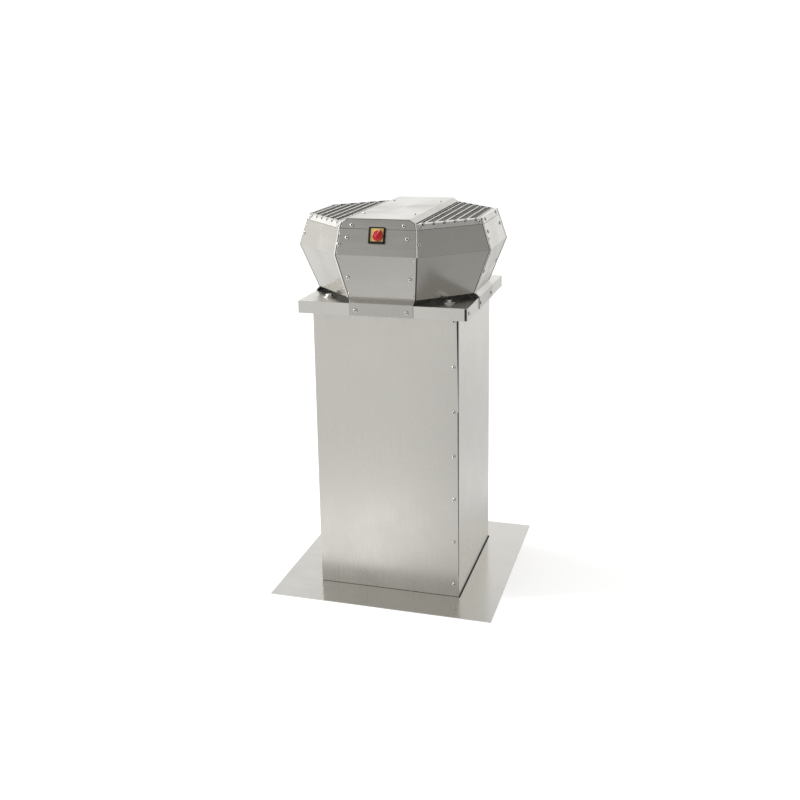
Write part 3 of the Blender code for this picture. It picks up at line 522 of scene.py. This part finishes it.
# ---- screws ----
WASHER_RINGS = ((1.07, 0.0), (1.07, 0.10), (1.0, 0.12))
SCREW_RINGS = ((1.0, 0.24), (0.95, 0.40), (0.82, 0.50), (0.62, 0.54))
DRIVE_SHARE = 0.47
DRIVE_LOBE = 0.075
DRIVE_FLOOR = 0.10


def pan_head(bm, matrix, radius, points=24):
    """Domed head on a dark sealing washer, with a six-lobed drive whose walls and floor take the washer's
    black as painted shade; sizes are shares of the head's radius.
    """
    rings = [circle(share, height, points) for share, height in WASHER_RINGS + SCREW_RINGS]
    rings.append(circle(DRIVE_SHARE, SCREW_RINGS[-1][1], points, 6, DRIVE_LOBE))
    rings.append(circle(DRIVE_SHARE, DRIVE_FLOOR, points, 6, DRIVE_LOBE))
    bands, caps = loft(bm, placed(rings, matrix @ Matrix.Scale(radius, 4)))
    # The washer's faces take the black rubber; the drive's walls and floor take it as painted shade.
    for face in (*bands[0], *bands[1], *bands[-1], caps[1]):
        face.material_index = 1


def facing(spot, outwards):
    """Matrix at a spot with +Z along the outward direction."""
    return Matrix.Translation(spot) @ outwards.to_track_quat("Z", "Y").to_matrix().to_4x4()


def screw_group(name, seats, radius):
    """Screws of one panel as one piece; seats are (spot, outward direction)."""
    bm = bmesh.new()
    for spot, outwards in seats:
        pan_head(bm, facing(spot, outwards), radius)
    finished(name, bm, "fastener_steel", "housing", shade_angle=35, extra=[WASHER_RUBBER_AND_DRIVE_SHADE])


def hood_level(height):
    """Distance and half width of the narrow panels at a height, and the outward lean of their wall."""
    for low, high in zip(HOOD_LEVELS, HOOD_LEVELS[1:]):
        if height <= high[0]:
            break
    share = (height - low[0]) / (high[0] - low[0])
    distance = low[1] + (high[1] - low[1]) * share
    half = low[2] + (high[2] - low[2]) * share
    return distance, half, (low[1] - high[1]) / (high[0] - low[0])


def narrow_seat(height, x, turn):
    """Seat on a narrow panel at a height and a place across it."""
    distance, _, lean = hood_level(height)
    about = Matrix.Rotation(radians(turn), 3, "Z")
    outwards = Vector((0, -1, lean)).normalized()
    return about @ Vector((x, -distance, height)), about @ outwards


def wide_seat(height, inset, turn, left):
    """Seat on a 45-degree panel, a given way in from its left or right seam as seen from outside."""
    distance, half, _ = hood_level(height)
    first = Vector((half, -distance, height))
    last = Vector((distance, -half, height))
    along = (last - first).normalized()
    low, high = (hood_level(height + step)[:2] for step in (-0.001, 0.001))
    lean = (sum(low) - sum(high)) / 2**0.5 / 0.002
    spot = first + along * inset if left else last - along * inset
    about = Matrix.Rotation(radians(turn), 3, "Z")
    outwards = Vector((1 / 2**0.5, -1 / 2**0.5, lean)).normalized()
    return about @ spot, about @ outwards


# Seats on the hood: height, and distance from the middle of a narrow panel or in from a wide panel's seam.
NARROW_SCREWS = ((1.1575, 0.078), (1.122, 0.090), (1.003, 0.094))
NARROW_END_SCREW = (1.104, -0.1135)
NARROW_RIVETS = ((1.059, 0.113), (0.951, 0.098))
WIDE_END_SCREW = (1.107, 0.008)
BAND_SCREW = (1.1545, 0.015)
COVER_SCREW_X, COVER_SCREW_Y = 0.078, 0.155
CURB_SCREW_X = 0.210
CURB_SCREW_FOOT = 0.045
CURB_SCREW_RISE = 0.1385
CURB_SCREWS = 7


def hood_screws():
    """Screws of the narrow panels, and those at the left end of each panel as seen from outside."""
    for side, turn in SIDES.items():
        seats = [narrow_seat(height, hand * x, turn) for hand in (-1, 1) for height, x in NARROW_SCREWS]
        seats.append(narrow_seat(*NARROW_END_SCREW, turn))
        screw_group(side + "_panel_screws", seats, SCREW_RADIUS)
        small = [narrow_seat(height, hand * x, turn) for hand in (-1, 1) for height, x in NARROW_RIVETS]
        screw_group(side + "_panel_rivets", small, RIVET_RADIUS)
    for corner, turn in CORNERS.items():
        seats = [wide_seat(*WIDE_END_SCREW, turn, True)]
        seats += [wide_seat(*BAND_SCREW, turn, left) for left in (True, False)]
        screw_group(corner + "_panel_screws", seats, SMALL_SCREW_RADIUS)


def cover_screws():
    up = Vector((0, 0, 1))
    seats = [(Vector((x, y, CROWN_Z)), up) for x in (-COVER_SCREW_X, COVER_SCREW_X)
             for y in (-COVER_SCREW_Y, COVER_SCREW_Y)]
    screw_group("top_cover_screws", seats, COVER_SCREW_RADIUS)


def curb_screws():
    """Row of screws down the lapped edge of the front and back faces."""
    for side, turn in (("front", 0), ("back", 180)):
        about = Matrix.Rotation(radians(turn), 3, "Z")
        outwards = about @ Vector((0, -1, 0))
        heights = [CURB_SCREW_FOOT + CURB_SCREW_RISE * index for index in range(CURB_SCREWS)]
        seats = [(about @ Vector((CURB_SCREW_X, -CURB_HALF, height)), outwards) for height in heights]
        screw_group(f"curb_{side}_screws", seats, SMALL_SCREW_RADIUS)


def flange_screws():
    """One screw near the front end of the base plate's right flange, and its opposite on the left."""
    for side, turn in (("right", 0), ("left", 180)):
        about = Matrix.Rotation(radians(turn), 3, "Z")
        seat = (about @ Vector((PLATE_HALF, -0.234, 0.905)), about @ Vector((1, 0, 0)))
        screw_group(f"base_plate_{side}_screw", [seat], SCREW_RADIUS)


def tab_screws():
    for name in sorted(NODES):
        if name.startswith("tab_screw"):
            low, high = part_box(name)
            centre = (low + high) / 2
            outwards = Vector((centre.x, 0, 0)) if abs(centre.x) > abs(centre.y) else Vector((0, centre.y, 0))
            outwards.normalize()
            seat = outwards * 0.2603
            spot = Vector((seat.x or centre.x, seat.y or centre.y, centre.z))
            bm = bmesh.new()
            pan_head(bm, facing(spot, outwards), SCREW_RADIUS)
            head = finished(name + "_head", bm, SLOT_OF[name], BODY_OF[name], shade_angle=35,
                            extra=[WASHER_RUBBER_AND_DRIVE_SHADE])
            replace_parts(head, name)


# ---- seams ----
def bead(name, sections, turn=0):
    """Upright bead of black foam rubber, standing in as painted shade in a gap; sections are (height, low x,
    high x, back y, front y) from the bottom up.
    """
    about = Matrix.Rotation(radians(turn), 3, "Z")
    rings = []
    for height, low, high, back, front in sections:
        middle, half = (low + high) / 2, (high - low) / 2
        spots = [Vector((low, back, height)), Vector((high, back, height))]
        for step in range(BEAD_STEPS + 1):
            angle = pi * step / BEAD_STEPS
            depth = (front - back) * (0.6 + 0.4 * sin(angle))
            spots.append(Vector((middle + half * cos(angle), back + depth, height)))
        rings.append([about @ spot for spot in spots])
    bm = bmesh.new()
    loft(bm, rings)
    finished(name, bm, "foam_rubber", "housing", shade_angle=50)


def curb_open_seam_shade():
    """Black bead as painted shade in the open part of the curb's front right seam, wider towards the top."""
    sections = []
    for step in range(SHADE_BEAD_STEPS + 1):
        height = SEAM_TAPER_Z + (SEAM_TOP - SEAM_TAPER_Z) * step / SHADE_BEAD_STEPS
        share = min(1.0, (height - SEAM_TAPER_Z) / (SEAM_WIDEST_Z - SEAM_TAPER_Z))
        left = CURB_HALF - SEAM_CLOSED - SEAM_OPEN * share + 0.0002
        wave = 0.00015 * sin(9 * step)
        sections.append((height, left, CURB_HALF - 0.0016, -CURB_HALF + 0.0017, -CURB_HALF + 0.0006 + wave))
    bead("curb_seam_shade_bead", sections)


def curb_closed_seam_shade():
    """Black strip as painted shade along the closed part of the curb's front right seam, narrower towards the
    foot.
    """
    sections = []
    for step in range(SHADE_BEAD_STEPS + 1):
        share = step / SHADE_BEAD_STEPS
        height = SHADE_STRIP_FOOT_Z + (SEAM_TAPER_Z + 0.04 - SHADE_STRIP_FOOT_Z) * share
        width = 0.0010 + 0.0022 * share + 0.0001 * sin(9 * step)
        sections.append((height, CURB_HALF - 0.0005 - width, CURB_HALF - 0.0005,
                         -CURB_HALF + 0.0003, -CURB_HALF - 0.0004))
    bead("curb_front_seam_shade_strip", sections)


def foot_shade_fillet():
    """Black fillet as painted shade in the gap between the curb's rear shell and the roof flange, round its
    right and back sides.
    """
    low, high = CURB_HALF - 0.0004, CURB_HALF + FOOT_BEAD
    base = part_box("curb_shell_front")[0].z
    path = [Vector((low, -low + 0.0006, 0)), Vector((low, low, 0)), Vector((-low + 0.0006, low, 0))]
    out = [Vector((1, 0, 0)), Vector((1, 1, 0)), Vector((0, 1, 0))]
    reach = high - low
    profile = [(0.0, 0.0), (1.0, 0.0), (0.55, 0.35), (0.28, 0.62), (0.0, 1.0)]
    rings = [[spot + away * reach * run + Vector((0, 0, base + reach * rise)) for run, rise in profile]
             for spot, away in zip(path, out)]
    bm = bmesh.new()
    loft(bm, rings)
    bmesh.ops.recalc_face_normals(bm, faces=bm.faces)
    finished("curb_foot_shade_fillet", bm, "foam_rubber", "housing", shade_angle=50)


def plate_shade_bead():
    """Black bead as painted shade in the slit where each flange of the base plate stops short of the corner.
    """
    low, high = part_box("base_plate")
    for corner, turn in CORNERS.items():
        sections = []
        for step in range(SHADE_BEAD_STEPS + 1):
            height = low.z + 0.0006 + (high.z - low.z - 0.0024) * step / SHADE_BEAD_STEPS
            wave = 0.0002 * sin(7 * step)
            sections.append((height, PLATE_HALF - PLATE_SLIT - 0.0004, PLATE_HALF - 0.0012,
                             -PLATE_HALF + 0.0040, -PLATE_HALF + 0.0009 + wave))
        bead(f"plate_corner_shade_bead_{corner}", sections, turn)


def seam_edges():
    """Edges on the hood in the brightest steel, a lip down the narrow panels' left seam and a roll up the
    right one: their shape catches real light, and their steel, brighter than the hood's, is a painted
    highlight.
    """
    along, out = Vector((-1, 1, 0)) / 2**0.5, Vector((-1, -1, 0)) / 2**0.5
    lip = [along * run + out * rise for run, rise in LIP_PROFILE]
    for side, turn in SIDES.items():
        about = Matrix.Rotation(radians(turn), 3, "Z")
        for hand, levels in ((-1, HOOD_LEVELS), (1, HOOD_LEVELS[1:])):
            rings = []
            for height, distance, half in levels:
                centre = Vector((hand * (half - EDGE_INSET), -distance + EDGE_INSET, height))
                profile = lip if hand < 0 else circle(EDGE_ROLL, 0, 12)
                rings.append([about @ (spot + centre) for spot in profile])
            bm = bmesh.new()
            loft(bm, rings)
            finished(f"{side}_panel_highlight_edge_{'left' if hand < 0 else 'right'}", bm, "fastener_steel", "housing")


def seam_shade_bead():
    """Black strips as painted shade in the hood's seams: up the foot of the right ones, and by the side
    panels' lips.
    """
    bisector = Vector((1, -1, 0)).normalized()
    wide_out = Vector((-1, -1, 0)).normalized()
    for side, turn in SIDES.items():
        about = Matrix.Rotation(radians(turn), 3, "Z")
        runs = [(1, HOOD_LEVELS[:2], bisector, Vector((-1, -1, 0)).normalized(), -0.0010, 0.0010)]
        if side in ("right", "left"):
            runs.append((-1, HOOD_LEVELS, wide_out, Vector((-1, 1, 0)).normalized(), 0.0040, 0.0056))
        bm = bmesh.new()
        for hand, levels, out, along, start, end in runs:
            inner, outer = -out * SEAM_SHADE_DEPTH, out * SEAM_SHADE_RISE
            profile = [along * start + inner, along * end + inner, along * end + outer, along * start + outer]
            rings = [[about @ (spot + Vector((hand * half, -distance, height))) for spot in profile]
                     for height, distance, half in levels]
            loft(bm, rings)
        bmesh.ops.recalc_face_normals(bm, faces=bm.faces)
        finished(side + "_seam_shade_bead", bm, "foam_rubber", "housing")


def lap_lines():
    """Dark line of painted shade across each narrow panel where its upper edge strip laps it, on both sides of
    any switch.
    """
    for side, turn in SIDES.items():
        about = Matrix.Rotation(radians(turn), 3, "Z")
        bm = bmesh.new()
        ends = (-LAP_REACH, -LAP_GAP, LAP_GAP, LAP_REACH) if side == "front" else (-LAP_REACH, LAP_REACH)
        for left, right in zip(ends[::2], ends[1::2]):
            spot, outwards = narrow_seat(LAP_Z, left, 0)
            upwards = outwards.cross(Vector((-1, 0, 0)))
            rings = []
            for x in (left, right):
                centre = Vector((x, spot.y, spot.z))
                rings.append([about @ (centre + upwards * run + outwards * rise)
                              for run, rise in LAP_PROFILE])
            loft(bm, rings)
        finished(side + "_panel_lap_shade_line", bm, "foam_rubber", "housing")


def grating_sheet(side, hand):
    """The grating in bright steel, with a darker copy as painted shade on the bars inside the rim, in the
    rim's notches and on its inner walls; faces at the top level stay bright.
    """
    name = side + "_grating"
    low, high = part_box("right_grating")
    span = sum(hood_level(GRATING_Z)[:2])
    bm = copied(name)
    bm.normal_update()
    for face in bm.faces:
        centre = face.calc_center_median() * hand
        turned = Vector((face.normal.x * hand, face.normal.y * hand, face.normal.z))
        rim = RIM_WIDTH if abs(turned.z) > 0.3 else RIM_WALL
        inside = low.x + rim < centre.x < high.x - rim and centre.x + abs(centre.y) < span - rim * 1.4
        diagonal = Vector((1, 1 if centre.y > 0 else -1, 0)) / 2**0.5
        edges = (
            (high.x - centre.x, Vector((1, 0, 0))), (centre.x - low.x, Vector((-1, 0, 0))),
            ((span - centre.x - abs(centre.y)) / 2**0.5, diagonal),
        )
        across = turned.dot(min(edges, key=lambda edge: edge[0])[1])
        level_top = turned.z > 0.5 and abs(centre.z) > high.z - GRATING_LIP_DEPTH
        notch = abs(turned.z) < 0.5 and across < 0.5 or turned.z > 0.5
        # Faces below the top, on the bars and in the notches, take the painted-shade steel.
        if (inside or notch) and not level_top and abs(centre.z) > low.z + GRATING_FOOT:
            face.material_index = 1
    piece = finished(name + "_sheet", bm, SLOT_OF[name], "housing", shade_angle=20, extra=[SHADED_BARS])
    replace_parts(piece, name)


def grating_rods():
    """Round rods along the tops of the gratings' long bars and, a little lower, their cross bars."""
    low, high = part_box("right_grating")
    top = high.z - ROD_DROP
    span = sum(hood_level(GRATING_Z)[:2])
    runs = []
    for index in range(LONG_BARS):
        x = FIRST_BAR_X + BAR_PITCH * index
        reach = span - x - ROD_INSET
        ends = (Vector((x, y, top - ROD_RADIUS)) for y in (-reach, reach))
        runs.append((*ends, ROD_RADIUS))
    cross_top = top - CROSS_ROD_DROP
    first = span - FIRST_BAR_X
    for index in range(CROSS_BARS):
        y = first * (index / (CROSS_BARS // 2) - 1)
        reaches = (low.x + ROD_INSET, min(high.x - ROD_INSET, span - abs(y) - ROD_INSET))
        ends = (Vector((x, y, cross_top - CROSS_ROD_RADIUS)) for x in reaches)
        runs.append((*ends, CROSS_ROD_RADIUS))
    for side, turn in (("right", 0), ("left", 180)):
        bm = bmesh.new()
        for start, end, radius in runs:
            aim = facing(start, (end - start).normalized())
            length = (end - start).length
            ends = ((0.5, 0.0), (1.0, 0.5 * radius), (1.0, length - 0.5 * radius), (0.5, length))
            rings = [circle(radius * share, height, 10) for share, height in ends]
            loft(bm, placed(rings, Matrix.Rotation(radians(turn), 4, "Z") @ aim))
        finished(side + "_grating_rods", bm, "fastener_steel", "housing")


# ---- isolator switch ----
def switch_place(origin):
    """Matrix at a point of the switch, with +Z out of the panel and +Y up its slope."""
    outwards = Vector(TURN_JOINT["axis"])
    upwards = outwards.cross(Vector((1, 0, 0)))
    turn = Matrix((Vector((1, 0, 0)), upwards, outwards)).transposed().to_4x4()
    return Matrix.Translation(TURN_JOINT["pos_m"]) @ turn @ Matrix.Translation(origin)


def isolator_frame():
    """Black surround with round corners and a chamfered opening, wider at its left and lower borders."""
    window = SWITCH_HALF - SWITCH_BORDER
    outer = [(0, 0.0004), (0, 0.0070), (0.0004, 0.0083), (0.0012, 0.0090)]
    inner = [(0.0007, 0.0090), (0, 0.0083), (0, 0.0004)]
    rings = [rounded_square(SWITCH_HALF - inset, 0.0028, height) for inset, height in outer]
    rings += [rounded_square(window + spread, 0.0016, height, WINDOW_SHIFT) for spread, height in inner]
    bm = bmesh.new()
    loft(bm, placed(rings, switch_place((-KNOB_X, -KNOB_Y, 0))), closed=True)
    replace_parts(finished("isolator_surround", bm, "black_plastic", "housing"), "isolator_frame")


def isolator_plate():
    """Yellow plate with a soft edge and, under the knob, a shallow well and a bore, both four-sided."""
    half = SWITCH_HALF - SWITCH_BORDER - 0.0003
    outer = [(0, 0.0015), (0, 0.0053), (0.0005, 0.0058)]
    rings = [rounded_square(half - inset, 0.0014, height, WINDOW_SHIFT) for inset, height in outer]
    well = [(KNOB_RADIUS + 0.0008, 0.0058), (KNOB_RADIUS + 0.0003, 0.0053)]
    well += [(0.0047, 0.0053), (0.0047, 0.0015)]
    rings += [drawn_in(rings[0], (KNOB_X, KNOB_Y), radius, height) for radius, height in well]
    bm = bmesh.new()
    loft(bm, placed(rings, switch_place((-KNOB_X, -KNOB_Y, 0))), closed=True)
    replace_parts(finished("isolator_face_plate", bm, "yellow_plastic", "housing"), "isolator_plate")


def isolator_knob():
    """Red knob: a finely ribbed rim, a sunk ring, a domed hub, and a tapered lever with round edges."""
    bm = bmesh.new()
    bmesh.ops.create_cube(bm, size=1)
    for vert in bm.verts:
        at_tip, on_top = vert.co.y > 0, vert.co.z > 0
        width = LEVER_TIP_WIDTH if at_tip else LEVER_ROOT_WIDTH
        height = (0.0160 if at_tip else 0.0187) if on_top else 0.0092
        vert.co = Vector((vert.co.x * width, 0.0195 if at_tip else -0.0080, height))
    bmesh.ops.bevel(bm, geom=bm.edges[:], offset=0.0028, segments=5, profile=0.5, affect="EDGES")
    bmesh.ops.rotate(bm, verts=bm.verts, matrix=Matrix.Rotation(radians(-35), 3, "Z"))
    bmesh.ops.transform(bm, verts=bm.verts, matrix=switch_place((0, 0, 0)))
    rim = [(0.0148, 0.0064, 0), (0.0154, 0.0071, 0.0002), (0.0154, 0.0098, 0.0002), (0.0150, 0.0110, 0.0001)]
    crown = [(0.0142, 0.0118), (0.0126, 0.0122), (0.0114, 0.0120), (0.0107, 0.0108), (0.0093, 0.0108),
             (0.0085, 0.0121), (0.0074, 0.0127), (0.0040, 0.0130)]
    rings = [circle(radius, height, 96, 24, depth) for radius, height, depth in rim]
    rings += [circle(radius, height, 96) for radius, height in crown]
    loft(bm, placed(rings, switch_place((0, 0, 0))))
    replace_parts(finished("isolator_handle_knob", bm, "red_plastic", "isolator_handle"), "isolator_knob")


# ---- stage, lights and camera ----
# The room is brighter towards LIT_SIDE. Levels run from the side turned away from it (0) to it (1).
LIT_SIDE = (-0.75, 0.66, 0)
ROOM_BY_SIDE = ((0.05, 0.48), (0.30, 0.68), (0.66, 1.22), (1.0, 1.17))
ROOM_BY_HEIGHT = ((0.18, 1.0), (0.34, 0.92), (0.50, 0.58), (0.74, 0.95), (0.95, 0.55))
# Levels of the floor's painted light as the steel sees it, by side and by reach.
FLOOR_BY_SIDE = ((0.06, 0.62), (0.26, 0.96), (0.67, 0.90), (0.97, 1.38))
FLOOR_BY_REACH = ((0.08, 0.90), (0.13, 1.02), (0.23, 1.18), (0.28, 1.12), (0.36, 0.86), (0.52, 0.77),
                  (0.80, 0.79), (1.0, 0.86))
SHADED_SIDE = (0.94, 0.34, 0)
DIM_SIDE = (0.96, -0.28, 0)


def stage():
    bm = bmesh.new()
    bmesh.ops.create_grid(bm, x_segments=1, y_segments=1, size=14)
    mesh = bpy.data.meshes.new("floor")
    bm.to_mesh(mesh)
    bm.free()
    floor = bpy.data.objects.new("floor", mesh)
    bpy.context.scene.collection.objects.link(floor)
    floor.location.z = -0.0005
    mesh.materials.append(floor_finish())


def floor_finish():
    """Pale floor, bright white as seen; to the steel it glows with painted light, greyer on the object's right
    as a painted shadow.
    """
    material, tree, shader = new_material("floor", 0.0, Roughness=0.8, Specular_IOR_Level=0.1)
    place = object_place(tree)
    mottle = noise(tree, place, 1.5, 2.0)
    seen = node(tree, "LightPath").outputs["Is Camera Ray"]
    reach = node(tree, "VectorMath", {0: place}, operation="LENGTH").outputs["Value"]
    heading = node(tree, "VectorMath", {0: place}, operation="NORMALIZE").outputs["Vector"]
    side = node(tree, "VectorMath", {0: heading, 1: LIT_SIDE}, operation="DOT_PRODUCT").outputs["Value"]
    near = ramp(tree, maths(tree, "DIVIDE", reach, 3.0), FLOOR_BY_REACH)
    about = ramp(tree, maths(tree, "MULTIPLY_ADD", side, 0.5, 0.5), FLOOR_BY_SIDE)
    lit = maths(tree, "MULTIPLY", near, about)
    # Painted shadow of the object on the floor near it, to its right.
    away = node(tree, "VectorMath", {0: heading, 1: SHADED_SIDE}, operation="DOT_PRODUCT").outputs["Value"]
    aside, close = remap(tree, away, 0.2, 0.8, 0.0, 0.32), remap(tree, reach, 0.5, 1.3, 1.0, 0.0)
    shade = maths(tree, "MULTIPLY", aside, close)
    lit = maths(tree, "MULTIPLY", lit, maths(tree, "SUBTRACT", 1.0, shade))
    # Painted dimming of the floor far off to the right.
    far = node(tree, "VectorMath", {0: heading, 1: DIM_SIDE}, operation="DOT_PRODUCT").outputs["Value"]
    aside, distant = remap(tree, far, 0.5, 0.9, 0.0, 0.5), remap(tree, reach, 1.2, 2.6, 0.0, 1.0)
    dim = maths(tree, "MULTIPLY", aside, distant)
    lit = maths(tree, "MULTIPLY", lit, maths(tree, "SUBTRACT", 1.0, dim))
    plain = mix_colour(tree, mottle, (0.92, 0.92, 0.92, 1), (0.95, 0.95, 0.95, 1))
    tree.links.new(mix_colour(tree, seen, (0, 0, 0, 1), plain), shader.inputs["Base Color"])
    tree.links.new(mix_colour(tree, seen, lit, (0.42, 0.42, 0.42, 1)), shader.inputs["Emission Color"])
    shader.inputs["Emission Strength"].default_value = 1.0
    return material


def studio():
    """White room: bright behind and to the left, with a grey band and ceiling round a paler ring."""
    world = bpy.data.worlds.new("studio")
    world.use_nodes = True
    bpy.context.scene.world = world
    tree = world.node_tree
    tree.nodes.clear()
    ray = node(tree, "TexCoord").outputs["Generated"]
    side = node(tree, "VectorMath", {0: ray, 1: LIT_SIDE}, operation="DOT_PRODUCT").outputs["Value"]
    height = node(tree, "SeparateXYZ", {"Vector": ray}).outputs["Z"]
    ring = ramp(tree, maths(tree, "MULTIPLY_ADD", side, 0.5, 0.5), ROOM_BY_SIDE)
    level = maths(tree, "MULTIPLY", ring, ramp(tree, height, ROOM_BY_HEIGHT))
    seen = node(tree, "LightPath").outputs["Is Camera Ray"]
    strength = node(tree, "Mix", {"Factor": seen, "A": level, "B": 1.05}).outputs["Result"]
    shade = node(tree, "Background", {"Color": (1.0, 0.995, 0.985, 1), "Strength": strength})
    out = node(tree, "OutputWorld", {"Surface": shade.outputs["Background"]})
    out.is_active_output = True


def softbox(name, place, target, size, power):
    light = bpy.data.lights.new(name, "AREA")
    light.shape = "RECTANGLE"
    light.size, light.size_y = size
    light.energy = power
    obj = bpy.data.objects.new(name, light)
    obj.location = place
    obj.rotation_euler = (Vector(target) - Vector(place)).to_track_quat("-Z", "Y").to_euler()
    bpy.context.scene.collection.objects.link(obj)


CAMERA_PLACE = Vector((0.8986, -3.1119, 1.5888))
CAMERA_TARGET = Vector((-0.0182, 0.0, 0.8165))
CAMERA_ROLL = radians(-0.841)
CAMERA_LENS = 47.29
CAMERA_SHIFT = -0.10


def camera():
    """Standing viewer's height, a little to the right of the switch's side."""
    lens = bpy.data.cameras.new("camera")
    lens.sensor_width = 36
    lens.lens = CAMERA_LENS
    lens.shift_y = CAMERA_SHIFT
    lens.dof.use_dof = False
    obj = bpy.data.objects.new("camera", lens)
    aim = (CAMERA_TARGET - CAMERA_PLACE).to_track_quat("-Z", "Y").to_matrix().to_4x4()
    obj.matrix_world = Matrix.Translation(CAMERA_PLACE) @ aim @ Matrix.Rotation(CAMERA_ROLL, 4, "Z")
    bpy.context.scene.collection.objects.link(obj)
    bpy.context.scene.camera = obj


SHEETS = [
    "roof_flange", "curb_shell_front", "curb_shell_back", "base_plate", "top_cover",
    *(side + "_panel" for side in SIDES), *(corner + "_panel" for corner in CORNERS),
]

bpy.context.scene.view_settings.view_transform = "Standard"
camera()
stage()
studio()
softbox("key", (-2.4, 0.6, 3.4), (0, 0, 0.6), (1.2, 1.2), 25)
softbox("fill", (-3.3, -1.1, 2.6), (0, 0, 0.9), (0.8, 0.8), 50)
dress_frame()
for sheet in SHEETS:
    top = CROWN_Z if sheet == "top_cover" else None
    bent_sheet(sheet, top=top, corners="MITER_SHARP" if sheet == "roof_flange" else "MITER_ARC")
for part, width in EDGE_WIDTHS.items():
    softened(part, width)
hood_screws()
cover_screws()
curb_screws()
flange_screws()
tab_screws()
curb_open_seam_shade()
curb_closed_seam_shade()
foot_shade_fillet()
plate_shade_bead()
seam_edges()
seam_shade_bead()
lap_lines()
grating_sheet("right", 1)
grating_sheet("left", -1)
grating_rods()
isolator_frame()
isolator_plate()
isolator_knob()
